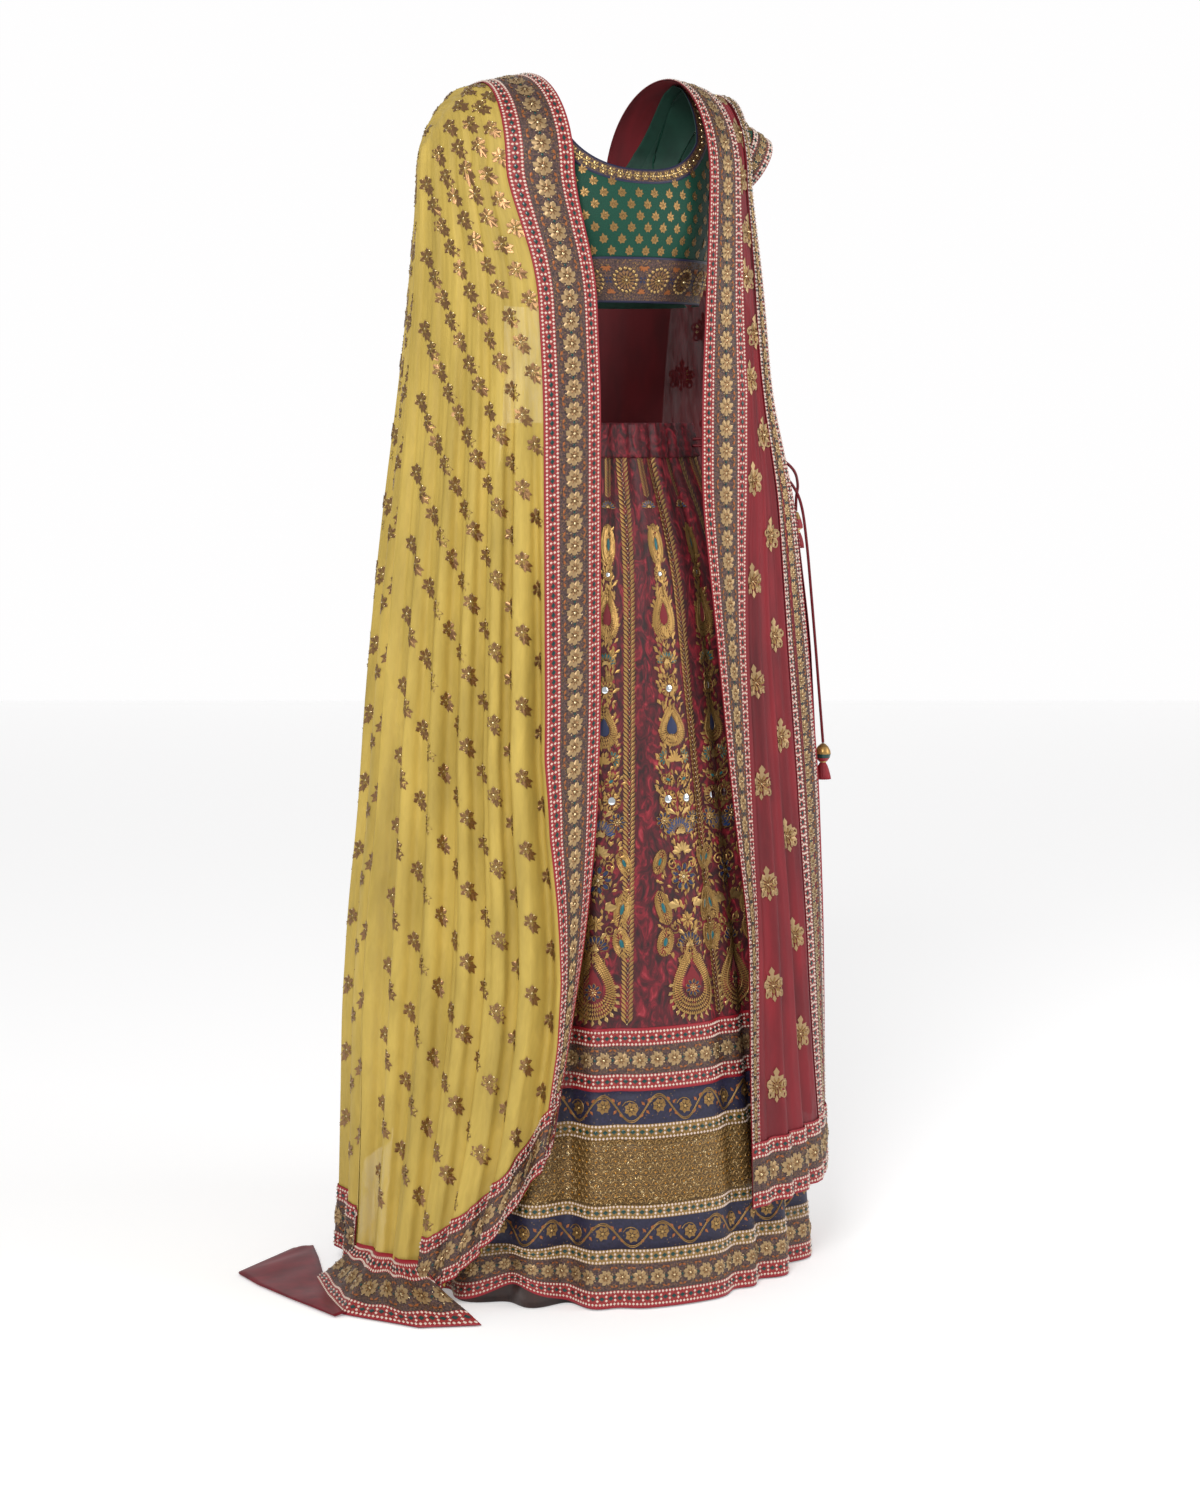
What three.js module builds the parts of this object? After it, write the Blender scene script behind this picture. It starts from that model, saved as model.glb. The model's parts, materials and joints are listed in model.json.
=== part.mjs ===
// A lehenga choli with two dupattas, held as it hangs when worn: cropped blouse, pleated velvet skirt with
// sewn borders, a golden chiffon dupatta like a cape over the wearer's right shoulder and a maroon one
// over the left. The cloth is hollow and open at neck, cuffs, hems and waist.
// Millimetres, +Z up, front towards -Y, the wearer's right towards -X.
// The origin is between the shoulders, SHOULDER_HEIGHT above the floor.
import * as THREE from 'three';

const SHOULDER_HEIGHT = 1440;
const SEAM_GAP = 0.4;

// Choli
const CHOLI_HEM_HEIGHT = 1182;
const CHOLI_WALL = 1.2;
const NECK_HALF_WIDTH = 100;
const NECK_LOW_FRONT = 1336;
const NECK_LOW_BACK = 1322;
const SHOULDER_TOP = 1458;
const SHOULDER_SLOPE = 0.22;
const SHOULDER_TIP = 165;
const ARMPIT = { x: 140, z: 1325 };
const ARMHOLE_INSET = 22;
const NECK_BAND_WIDTH = 17;
const HEM_BAND_WIDTH = 52;
const TRIM_WALL = 1.1;
// Where the top outline of a bodice panel turns, as a share of its half width
const NECK_SHARE = 0.42;
const TIP_SHARE = 0.62;
const NECK_STEPS = 12;

// Torso sections, as half axes
const TORSO = [
  { z: 1150, side: 118, front: 94, back: 88 },
  { z: 1182, side: 122, front: 100, back: 90 },
  { z: 1230, side: 132, front: 114, back: 96 },
  { z: 1270, side: 138, front: 124, back: 100 },
  { z: 1310, side: 142, front: 120, back: 102 },
  { z: 1350, side: 152, front: 108, back: 100 },
  { z: 1400, side: 172, front: 94, back: 92 },
  { z: 1460, side: 188, front: 80, back: 80 },
];

// Short sleeve
const CUFFS = {
  right: { x: 172, y: -4, z: 1337, radius: 36, tilt: 0.81 },
  left: { x: 180, y: -4, z: 1371, radius: 38, tilt: 1.73 },
};
const SLEEVE_WALL = 1.2;
const SLEEVE_ROWS = 4;
const SLEEVE_BAND = 34;

// Skirt: half axes of its outer form
const SKIRT = [
  { z: 0, side: 282, front: 248 },
  { z: 150, side: 268, front: 236 },
  { z: 330, side: 245, front: 215 },
  { z: 500, side: 225, front: 190 },
  { z: 700, side: 200, front: 163 },
  { z: 850, side: 180, front: 143 },
  { z: 910, side: 163, front: 127 },
  { z: 960, side: 138, front: 108 },
  { z: 1000, side: 120, front: 92 },
  { z: 1045, side: 112, front: 84 },
];
const WAIST_TOP = 1040;
const WAIST_BOTTOM = 1000;
const SKIRT_WALL = 1.6;
const SKIRT_COLUMNS = 88;
const BAND_TOP = 332;
const VELVET_LEVELS = [WAIST_BOTTOM, 955, 905, 840, 700, 520, BAND_TOP];
// Borders sewn one below another, from the velvet down to the hem
const BORDERS = [
  { name: 'skirt_border_top', top: 332, bottom: 258, colour: 0x6b4a3a },
  { name: 'skirt_border_navy_upper', top: 258, bottom: 201, colour: 0x1b1c35 },
  { name: 'skirt_border_gold', top: 201, bottom: 124, colour: 0x8a6a2c },
  { name: 'skirt_border_navy_lower', top: 124, bottom: 72, colour: 0x1b1c35 },
  { name: 'skirt_border_hem', top: 72, bottom: 2, colour: 0x6b4a3a },
];
// Deep folds of the skirt: angle from the front towards the wearer's left, depth at the hem, half width
const SKIRT_FOLDS = [
  { at: -37, depth: 34, width: 6 },
  { at: -22, depth: 9, width: 5 },
  { at: 17, depth: 16, width: 5 },
  { at: 29, depth: 22, width: 5 },
  { at: 46, depth: 26, width: 6 },
  { at: 67, depth: 30, width: 7 },
  { at: 90, depth: 26, width: 7 },
  { at: 112, depth: 32, width: 7 },
  { at: 134, depth: 27, width: 6 },
  { at: 155, depth: 33, width: 7 },
  { at: 178, depth: 28, width: 7 },
  { at: -160, depth: 32, width: 6 },
  { at: -139, depth: 26, width: 7 },
  { at: -117, depth: 33, width: 7 },
  { at: -95, depth: 27, width: 7 },
  { at: -74, depth: 31, width: 6 },
  { at: -54, depth: 24, width: 6 },
];
const LINING = { top: 60, bottom: 1, inset: 2.1 };
const HEM_LIFT = { at: -50, height: 24, width: 9 };

// Dupattas: chiffon that lies on a shoulder ridge and falls in front and behind. Angles run from the
// front (0) over the wearer's side (90) to the back (180), radii from the body's axis.
const CHIFFON_WALL = 1;
const RIDGE_Y = 0;
const RIDGE_RISE = 2;
const FALL_START = 1330;
const RIDGE_ROWS = 4;
const FALL_ROWS = 8;
const EDGE_SHARE = 0.25;
// Height of the end borders. Each dupatta says how much of its long border shows at a height.
const BORDER_WIDTH = 78;

const GOLD_FRONT = {
  ridge: [100, 160, 236],
  ridgeDrop: 76,
  levels: [
    { z: 1330, edge: 40, edgeR: 143, mid: 60, midR: 188, side: 90, sideR: 238 },
    { z: 1211, edge: 29, edgeR: 152, mid: 60, midR: 203, side: 90, sideR: 241 },
    { z: 1074, edge: 27, edgeR: 160, mid: 60, midR: 214, side: 90, sideR: 250 },
    { z: 949, edge: 27, edgeR: 172, mid: 60, midR: 225, side: 90, sideR: 262 },
    { z: 824, edge: 27, edgeR: 186, mid: 60, midR: 236, side: 90, sideR: 274 },
    { z: 699, edge: 27, edgeR: 198, mid: 60, midR: 245, side: 90, sideR: 284 },
    { z: 575, edge: 28, edgeR: 215, mid: 60, midR: 254, side: 90, sideR: 292 },
    { z: 450, edge: 31, edgeR: 234, mid: 60, midR: 268, side: 90, sideR: 304 },
    { z: 325, edge: 35, edgeR: 252, mid: 60, midR: 282, side: 90, sideR: 312 },
    { z: 200, edge: 39, edgeR: 264, mid: 60, midR: 292, side: 90, sideR: 316 },
    { z: 80, edge: 44, edgeR: 276, mid: 60, midR: 304, side: 90, sideR: 322 },
    { z: 0, edge: 46, edgeR: 282, mid: 60, midR: 312, side: 90, sideR: 330 },
  ],
  border: [
    { z: 200, width: 9 }, { z: 318, width: 11 }, { z: 390, width: 18 }, { z: 485, width: 34 }, { z: 560, width: 48 },
    { z: 650, width: 56 },
  ],
  bottom: [
    { s: 0, z: 206 },
    { s: 0.25, z: 168 },
    { s: 0.31, z: 136 },
    { s: 0.38, z: 84 },
    { s: 0.5, z: 38 },
    { s: 0.62, z: 7 },
    { s: 1, z: 7 },
  ],
  folds: [
    { s: 0.31, depth: 24, width: 0.04, from: 1150 },
    { s: 0.42, depth: 11, width: 0.035, from: 1250 },
    { s: 0.54, depth: 9, width: 0.04, from: 1280 },
    { s: 0.67, depth: 12, width: 0.045, from: 1200 },
    { s: 0.8, depth: 10, width: 0.04, from: 1100 },
    { s: 0.92, depth: 9, width: 0.04, from: 1000 },
  ],
};
const GOLD_BACK = {
  ridge: GOLD_FRONT.ridge,
  ridgeDrop: GOLD_FRONT.ridgeDrop,
  levels: [
    { z: 1330, edge: 150, edgeR: 146, mid: 125, midR: 196, side: 90.1, sideR: 238 },
    { z: 1211, edge: 155, edgeR: 152, mid: 125, midR: 222, side: 90.1, sideR: 241 },
    { z: 1074, edge: 157, edgeR: 158, mid: 125, midR: 240, side: 90.1, sideR: 250 },
    { z: 949, edge: 157, edgeR: 172, mid: 125, midR: 256, side: 90.1, sideR: 262 },
    { z: 824, edge: 157, edgeR: 190, mid: 125, midR: 270, side: 90.1, sideR: 274 },
    { z: 699, edge: 157, edgeR: 204, mid: 125, midR: 279, side: 90.1, sideR: 284 },
    { z: 575, edge: 157, edgeR: 218, mid: 125, midR: 288, side: 90.1, sideR: 292 },
    { z: 450, edge: 157, edgeR: 236, mid: 125, midR: 304, side: 90.1, sideR: 304 },
    { z: 325, edge: 157, edgeR: 252, mid: 125, midR: 313, side: 90.1, sideR: 312 },
    { z: 200, edge: 157, edgeR: 266, mid: 125, midR: 314, side: 90.1, sideR: 316 },
    { z: 80, edge: 157, edgeR: 278, mid: 125, midR: 314, side: 90.1, sideR: 322 },
    { z: 0, edge: 157, edgeR: 286, mid: 125, midR: 320, side: 90.1, sideR: 330 },
  ],
  border: [{ z: 0, width: 78 }],
  bottom: [
    { s: 0, z: 150 },
    { s: 0.3, z: 120 },
    { s: 0.7, z: 24 },
    { s: 1, z: 7 },
  ],
  folds: [
    { s: 0.33, depth: 18, width: 0.05, from: 1200 },
    { s: 0.5, depth: 14, width: 0.04, from: 1250 },
    { s: 0.66, depth: 12, width: 0.05, from: 1150 },
    { s: 0.84, depth: 11, width: 0.04, from: 1050 },
  ],
};
const MAROON_FRONT = {
  ridge: [86, 126, 178],
  ridgeDrop: 0,
  outerShare: 0.68,
  levels: [
    { z: 1330, edge: 36, edgeR: 146, mid: 46, midR: 164, side: 62, sideR: 180 },
    { z: 1199, edge: 27, edgeR: 155, mid: 40, midR: 172, side: 57, sideR: 197 },
    { z: 1074, edge: 23.6, edgeR: 156, mid: 38, midR: 176, side: 58, sideR: 208 },
    { z: 949, edge: 21.7, edgeR: 161, mid: 40, midR: 192, side: 62, sideR: 236 },
    { z: 774, edge: 21.6, edgeR: 186, mid: 40, midR: 210, side: 63, sideR: 256 },
    { z: 600, edge: 22.6, edgeR: 206, mid: 40, midR: 228, side: 64, sideR: 270 },
    { z: 431, edge: 22.8, edgeR: 232, mid: 40, midR: 248, side: 66, sideR: 277 },
    { z: 262, edge: 20, edgeR: 245, mid: 44, midR: 264, side: 70, sideR: 283 },
    { z: 100, edge: 18, edgeR: 258, mid: 44, midR: 276, side: 76, sideR: 290 },
  ],
  border: [
    { z: 262, width: 12 }, { z: 431, width: 14 }, { z: 600, width: 26 }, { z: 774, width: 36 }, { z: 949, width: 50 },
    { z: 1074, width: 56 },
  ],
  bottom: [
    { s: 0, z: 104 },
    { s: 1, z: 110 },
  ],
  folds: [
    { s: 0.34, depth: 8, width: 0.05, from: 1250 },
    { s: 0.45, depth: 7, width: 0.05, from: 1200 },
    { s: 0.56, depth: 8, width: 0.05, from: 1220 },
  ],
};
const MAROON_BACK = {
  ridge: MAROON_FRONT.ridge,
  ridgeDrop: MAROON_FRONT.ridgeDrop,
  outerShare: 0.86,
  levels: [
    { z: 1330, edge: 150, edgeR: 146, mid: 136, midR: 176, side: 124, sideR: 196 },
    { z: 1199, edge: 155, edgeR: 152, mid: 118, midR: 212, side: 96, sideR: 216 },
    { z: 1074, edge: 157, edgeR: 158, mid: 112, midR: 222, side: 84, sideR: 222 },
    { z: 949, edge: 157, edgeR: 172, mid: 110, midR: 236, side: 72, sideR: 238 },
    { z: 774, edge: 157, edgeR: 196, mid: 110, midR: 256, side: 70, sideR: 258 },
    { z: 600, edge: 157, edgeR: 214, mid: 110, midR: 272, side: 72, sideR: 270 },
    { z: 431, edge: 157, edgeR: 238, mid: 110, midR: 284, side: 74, sideR: 276 },
    { z: 262, edge: 157, edgeR: 260, mid: 110, midR: 290, side: 78, sideR: 280 },
    { z: 100, edge: 157, edgeR: 276, mid: 110, midR: 298, side: 84, sideR: 288 },
  ],
  border: [{ z: 0, width: 78 }],
  bottom: [
    { s: 0, z: 176 },
    { s: 1, z: 152 },
  ],
  folds: [
    { s: 0.36, depth: 16, width: 0.05, from: 1200 },
    { s: 0.52, depth: 12, width: 0.05, from: 1250 },
    { s: 0.68, depth: 13, width: 0.05, from: 1150 },
  ],
};

// The golden dupatta's end on the floor, outside the wall that stands on it: station on the wall and
// where the cloth's far edge lies
const FLOOR_END = [
  { s: 0.63, x: -262, y: -212 },
  { s: 0.72, x: -330, y: -187 },
  { s: 0.84, x: -391, y: -100 },
  { s: 0.93, x: -383, y: -30 },
  { s: 1, x: -367, y: 45 },
];
const FLOOR_END_HEIGHT = 6;
const FLOOR_END_INNER_HEIGHT = 5;
const CORNER = [
  { inner: [-392, -100], outer: [-402, -106] },
  { inner: [-384, -30], outer: [-424, -20] },
  { inner: [-368, 46], outer: [-440, 50] },
  { inner: [-346, 120], outer: [-446, 106] },
  { inner: [-331, 176], outer: [-348, 172] },
];
const CORNER_HEIGHT = 3;

// Drawstring ends with their tassels at the wearer's left side
const CORD_DIAMETER = 3.6;
const CORD_SIDES = 8;
const CORD_ROUTES = [
  {
    name: 'drawstring_upper',
    tassel: 'latkan_upper',
    steps: 14,
    points: [
      [102.7, -48.5, 1020], [122, -59, 1021], [146, -70, 1016], [176, -80, 1008], [205, -84, 997],
      [228, -80, 982], [245, -62, 964], [252.4, -46.4, 947], [253, -45, 930],
    ],
    headRadius: 8,
    headLength: 22,
    skirtRadius: 9,
    skirtLength: 24,
  },
  {
    name: 'drawstring_lower',
    tassel: 'latkan_lower',
    steps: 32,
    points: [
      [99.3, -54.4, 1012], [119, -67, 1012], [142, -76, 1006], [172, -86, 996], [200, -90, 982],
      [222, -90, 962], [238, -84, 936], [247, -82, 890], [255, -80, 830], [263, -79, 760],
      [270, -79, 690], [275, -79, 640],
    ],
    headRadius: 10,
    headLength: 24,
    skirtRadius: 9,
    skirtLength: 22,
  },
];
const TASSEL_SIDES = 12;

const RAD = Math.PI / 180;
const group = new THREE.Group();
group.position.z = -SHOULDER_HEIGHT;

// Value of a table's column at a height, smooth between its rows
function tableValue(table, key, value, column) {
  const rows = [...table].sort((a, b) => a[key] - b[key]);
  if (value <= rows[0][key]) {
    return rows[0][column];
  }
  for (let i = 1; i < rows.length; i += 1) {
    if (value <= rows[i][key]) {
      const t = (value - rows[i - 1][key]) / (rows[i][key] - rows[i - 1][key]);
      return THREE.MathUtils.lerp(rows[i - 1][column], rows[i][column], t);
    }
  }
  return rows[rows.length - 1][column];
}

function ellipseRadius(angle, side, front) {
  return (side * front) / Math.hypot(front * Math.sin(angle), side * Math.cos(angle));
}

// Numbers from first to last in equal steps, both ends included
function steps(first, last, count) {
  return Array.from({ length: count + 1 }, (_, i) => first + ((last - first) * i) / count);
}

// Faces of a grid of points, two triangles a cell
function gridFaces(height, width, around) {
  const faces = [];
  const lastColumn = around ? width : width - 1;
  for (let r = 0; r < height - 1; r += 1) {
    for (let c = 0; c < lastColumn; c += 1) {
      const right = (c + 1) % width;
      const [a, b, d, e] = [r * width + c, r * width + right, (r + 1) * width + c, (r + 1) * width + right];
      faces.push([a, d, b], [b, d, e]);
    }
  }
  return faces;
}

// The grid's points moved out along their normals
function movedOut(rows, distance, around = false) {
  const width = rows[0].length;
  const points = rows.flat();
  const normals = points.map(() => new THREE.Vector3());
  for (const [a, b, c] of gridFaces(rows.length, width, around)) {
    const ab = points[b].clone().sub(points[a]);
    const ac = points[c].clone().sub(points[a]);
    const normal = ab.cross(ac);
    for (const i of [a, b, c]) {
      normals[i].add(normal);
    }
  }
  const moved = points.map((p, i) => p.clone().addScaledVector(normals[i].normalize(), distance));
  return rows.map((_, r) => moved.slice(r * width, (r + 1) * width));
}

// Closed wall between two grids of points, the inside and the outside of a piece of cloth.
// Seen from outside, a row runs to the right and the rows follow each other down.
function wallBetween(rows, outerRows, around = false) {
  const height = rows.length;
  const width = rows[0].length;
  const index = (r, c) => r * width + (c % width);
  const points = [...outerRows.flat(), ...rows.flat()];
  const offset = points.length / 2;
  const triangles = [];
  for (const [a, b, c] of gridFaces(height, width, around)) {
    triangles.push(a, b, c, a + offset, c + offset, b + offset);
  }
  const closeEdge = (a, b) => triangles.push(a, b, a + offset, b, b + offset, a + offset);
  for (let c = 0; c < (around ? width : width - 1); c += 1) {
    closeEdge(index(0, c), index(0, c + 1));
    closeEdge(index(height - 1, c + 1), index(height - 1, c));
  }
  if (!around) {
    for (let r = 0; r < height - 1; r += 1) {
      closeEdge(index(r + 1, 0), index(r, 0));
      closeEdge(index(r, width - 1), index(r + 1, width - 1));
    }
  }
  const geometry = new THREE.BufferGeometry();
  geometry.setAttribute('position', new THREE.Float32BufferAttribute(points.flatMap((p) => p.toArray()), 3));
  geometry.setIndex(triangles);
  return geometry;
}

function wallGeometry(rows, wall, around = false) {
  return wallBetween(rows, movedOut(rows, wall, around), around);
}

function addPiece(name, geometry, colour, roughness = 0.85, metalness = 0) {
  const material = new THREE.MeshStandardMaterial({ color: colour, roughness, metalness });
  const mesh = new THREE.Mesh(geometry, material);
  mesh.name = name;
  group.add(mesh);
}

// Choli bodice
function shoulderHeight(x) {
  return SHOULDER_TOP - SHOULDER_SLOPE * Math.max(0, Math.abs(x) - 60);
}

function bodiceDepth(x, z, face) {
  const side = tableValue(TORSO, 'z', z, 'side');
  const depth = tableValue(TORSO, 'z', z, face);
  const inside = Math.max(0, 1 - (x / side) ** 2);
  const underRidge = THREE.MathUtils.clamp((shoulderHeight(x) - z) / 80, 0, 1);
  return depth * Math.sqrt(inside) * Math.sqrt(underRidge);
}

// Top outline of a bodice panel: neckline, shoulder seam and armhole. The inset moves the neckline in.
function bodiceTop(s, face, inset) {
  const share = Math.abs(s);
  const sign = Math.sign(s) || 1;
  const low = face === 'front' ? NECK_LOW_FRONT : NECK_LOW_BACK;
  const neckX = NECK_HALF_WIDTH + inset;
  if (share <= NECK_SHARE) {
    const angle = (share / NECK_SHARE) * 90 * RAD;
    const x = neckX * Math.sin(angle) ** 0.85;
    const top = shoulderHeight(neckX);
    return { x: sign * x, z: top - (top - low + inset) * Math.cos(angle) ** 0.75 };
  }
  if (share <= TIP_SHARE) {
    const t = (share - NECK_SHARE) / (TIP_SHARE - NECK_SHARE);
    const x = THREE.MathUtils.lerp(neckX, SHOULDER_TIP, t);
    return { x: sign * x, z: shoulderHeight(x) };
  }
  const t = (share - TIP_SHARE) / (1 - TIP_SHARE);
  const x = THREE.MathUtils.lerp(SHOULDER_TIP, ARMPIT.x, t) - ARMHOLE_INSET * Math.sin(Math.PI * t) * (1 - 0.3 * t);
  const z = THREE.MathUtils.lerp(shoulderHeight(SHOULDER_TIP), ARMPIT.z, Math.sin(t * 90 * RAD) ** 0.9);
  return { x: sign * x, z };
}

function onBodice(x, z, face) {
  const sign = face === 'front' ? -1 : 1;
  return new THREE.Vector3(x, sign * (bodiceDepth(x, z, face) + SEAM_GAP), z);
}

function bodicePoint(s, v, face) {
  const top = bodiceTop(s, face, NECK_BAND_WIDTH + 3.5 * SEAM_GAP);
  const hemX = tableValue(TORSO, 'z', CHOLI_HEM_HEIGHT, 'side') * Math.sin(s * 90 * RAD);
  const share = Math.abs(s);
  const fast = 1 - (1 - v) ** THREE.MathUtils.lerp(1, 2, Math.min(1, share / NECK_SHARE));
  const late = v ** 2.2;
  const past = Math.min(1, Math.max(0, (share - NECK_SHARE) / (TIP_SHARE - NECK_SHARE)));
  const x = THREE.MathUtils.lerp(hemX, top.x, THREE.MathUtils.lerp(fast, late, past ** 0.62));
  return onBodice(x, THREE.MathUtils.lerp(CHOLI_HEM_HEIGHT, top.z, v), face);
}

// Shares of half width where a bodice panel has its columns, the outline's turns among them
function bodiceColumns() {
  const side = [...steps(TIP_SHARE, 1, 7)].reverse();
  const shoulder = [...steps(NECK_SHARE, TIP_SHARE, 2)].reverse().slice(1);
  const neck = steps(-NECK_SHARE, NECK_SHARE, NECK_STEPS);
  const rightHalf = [...side, ...shoulder].map((s) => -s);
  const leftHalf = [...side, ...shoulder].reverse();
  return [...rightHalf, ...neck.slice(1, -1), ...leftHalf];
}

// A bodice's grid: the neck band's two rows, then the panel's, with one at the upper edge of the hem band.
// Beside the neckline the band's rows lie on the panel's edge and take no room.
function bodiceGrid(face) {
  const columns = bodiceColumns();
  const ordered = face === 'front' ? columns : [...columns].reverse();
  const hemRow = (s) => HEM_BAND_WIDTH / (bodiceTop(s, face, 0).z - CHOLI_HEM_HEIGHT);
  const above = [1, 0.9, 0.68, 0.36].map((t) => (s) => THREE.MathUtils.lerp(hemRow(s), 1, t));
  const panel = [...above, hemRow, () => 0].map((share) => ordered.map((s) => bodicePoint(s, share(s), face)));
  const band = [0, NECK_BAND_WIDTH].map((inset) => ordered.map((s) => {
    if (Math.abs(s) > NECK_SHARE + 1e-6) {
      return bodicePoint(s, 1, face);
    }
    const { x, z } = bodiceTop(s, face, inset);
    return onBodice(x, z, face);
  }));
  return [...band, ...panel];
}

function addCholi() {
  const green = 0x0f4f38;
  const trim = 0x4a3a2c;
  const besideNeck = (bodiceColumns().length - NECK_STEPS - 1) / 2;
  const neckOf = (rows) => rows.slice(0, 2).map((row) => row.slice(besideNeck, besideNeck + NECK_STEPS + 1));
  for (const face of ['front', 'back']) {
    const inside = bodiceGrid(face);
    const outside = movedOut(inside, CHOLI_WALL);
    addPiece(`choli_${face}`, wallBetween(inside.slice(2), outside.slice(2)), green);
    addPiece(`neck_band_${face}`, wallBetween(neckOf(inside), neckOf(outside)), trim);
    const hemInside = movedOut(inside, CHOLI_WALL + SEAM_GAP).slice(-2);
    const hemOutside = movedOut(inside, CHOLI_WALL + SEAM_GAP + TRIM_WALL).slice(-2);
    addPiece(`choli_hem_band_${face}`, wallBetween(hemInside, hemOutside), trim);
  }
}

// Armhole edge as a loop, from the shoulder tip down the front and up the back
function armholeLoop(sign) {
  const shares = steps(TIP_SHARE, 1, 7);
  const front = shares.map((s) => bodicePoint(s, 1, 'front'));
  const back = [...shares].reverse().map((s) => bodicePoint(s, 1, 'back'));
  const loop = [...front, ...back];
  return loop.map((p) => new THREE.Vector3(sign * (p.x + CHOLI_WALL + SEAM_GAP), p.y, p.z + 1));
}

function cuffLoop(sign, count, out) {
  const cuff = sign < 0 ? CUFFS.right : CUFFS.left;
  const down = new THREE.Vector3(cuff.tilt, 0, -1).normalize();
  const wide = new THREE.Vector3(1, 0, cuff.tilt).normalize();
  return Array.from({ length: count }, (_, i) => {
    const angle = ((i + 0.5) / count) * 360 * RAD;
    const point = new THREE.Vector3(cuff.x, cuff.y, cuff.z)
      .addScaledVector(wide, cuff.radius * Math.cos(angle))
      .addScaledVector(down, out);
    point.y -= cuff.radius * Math.sin(angle);
    point.x *= sign;
    return point;
  });
}

function addSleeve(side, sign) {
  const head = armholeLoop(sign);
  const cuff = cuffLoop(sign, head.length, 0);
  const bandEnd = cuffLoop(sign, head.length, SLEEVE_BAND);
  const blend = (a, b, t) => a.map((p, i) => {
    const point = p.clone().lerp(b[i], t);
    point.x += sign * 7 * Math.sin(Math.PI * t);
    return point;
  });
  const order = (row) => (sign > 0 ? row : [...row].reverse());
  const rows = steps(0, 1, SLEEVE_ROWS).map((t) => order(blend(head, cuff, t)));
  addPiece(`sleeve_${side}`, wallGeometry(rows, SLEEVE_WALL, true), 0x0f4f38);
  const band = [cuffLoop(sign, head.length, 4.5 * SEAM_GAP), bandEnd].map(order);
  addPiece(`sleeve_band_${side}`, wallGeometry(band, TRIM_WALL, true), 0x4a3a2c);
}

// Skirt
function angleApart(a, b) {
  const apart = (((a - b) % 360) + 540) % 360;
  return apart - 180;
}

function skirtPoint(degrees, z, inset = 0) {
  const angle = degrees * RAD;
  const side = tableValue(SKIRT, 'z', z, 'side');
  const front = tableValue(SKIRT, 'z', z, 'front');
  const fallen = THREE.MathUtils.clamp(1 - z / WAIST_BOTTOM, 0, 1);
  let radius = ellipseRadius(angle, side, front) - inset;
  for (const fold of SKIRT_FOLDS) {
    const reach = angleApart(degrees, fold.at) / fold.width;
    radius -= fold.depth * fallen ** 0.8 * Math.exp(-reach * reach);
  }
  return new THREE.Vector3(radius * Math.sin(angle), -radius * Math.cos(angle), z);
}

function skirtAngles() {
  return Array.from({ length: SKIRT_COLUMNS }, (_, i) => -180 + (360 * i) / SKIRT_COLUMNS);
}

function hemHeight(degrees) {
  const reach = angleApart(degrees, HEM_LIFT.at) / HEM_LIFT.width;
  return HEM_LIFT.height * Math.exp(-reach * reach);
}

function addSkirt() {
  const maroon = 0x5e0f16;
  const half = SKIRT_COLUMNS / 2;
  const edge = 0.12;
  const halves = [
    { name: 'skirt_velvet_front', from: -90 + edge, to: 90 - edge },
    { name: 'skirt_velvet_back', from: 90 + edge, to: 270 - edge },
  ];
  for (const { name, from, to } of halves) {
    const rows = VELVET_LEVELS.map((z) => steps(from, to, half).map((a) => skirtPoint(a, z - SEAM_GAP)));
    addPiece(name, wallGeometry(rows, SKIRT_WALL), maroon);
  }
  for (const { name, top, bottom, colour } of BORDERS) {
    const isHem = name === 'skirt_border_hem';
    const rows = [
      skirtAngles().map((a) => skirtPoint(a, top - 2 * SEAM_GAP)),
      skirtAngles().map((a) => skirtPoint(a, bottom + (isHem ? hemHeight(a) : 0))),
    ];
    addPiece(name, wallGeometry(rows, SKIRT_WALL + 0.4, true), colour);
  }
  const lining = [LINING.top, LINING.bottom].map((z) => skirtAngles().map((a) => skirtPoint(a, z, LINING.inset)));
  addPiece('skirt_lining', wallGeometry(lining, 1, true), 0x2d1712);
  const waist = [WAIST_TOP, WAIST_BOTTOM + SEAM_GAP].map((z) => skirtAngles()
    .filter((_, i) => i % 2 === 0)
    .map((a) => skirtPoint(a, z, -1)));
  addPiece('waistband', wallGeometry(waist, 2.4, true), maroon);
}

// Dupattas
function ridgePoint(drape, s) {
  const [edge, border, tip] = drape.ridge;
  const x = s <= EDGE_SHARE
    ? THREE.MathUtils.lerp(edge, border, s / EDGE_SHARE)
    : THREE.MathUtils.lerp(border, tip, (s - EDGE_SHARE) / (1 - EDGE_SHARE));
  const level = SHOULDER_TIP + 12;
  const past = Math.max(0, (x - level) / (tip - level));
  const z = shoulderHeight(Math.min(x, level)) + RIDGE_RISE - drape.ridgeDrop * past ** 1.3;
  return { x, y: RIDGE_Y, z };
}

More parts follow.
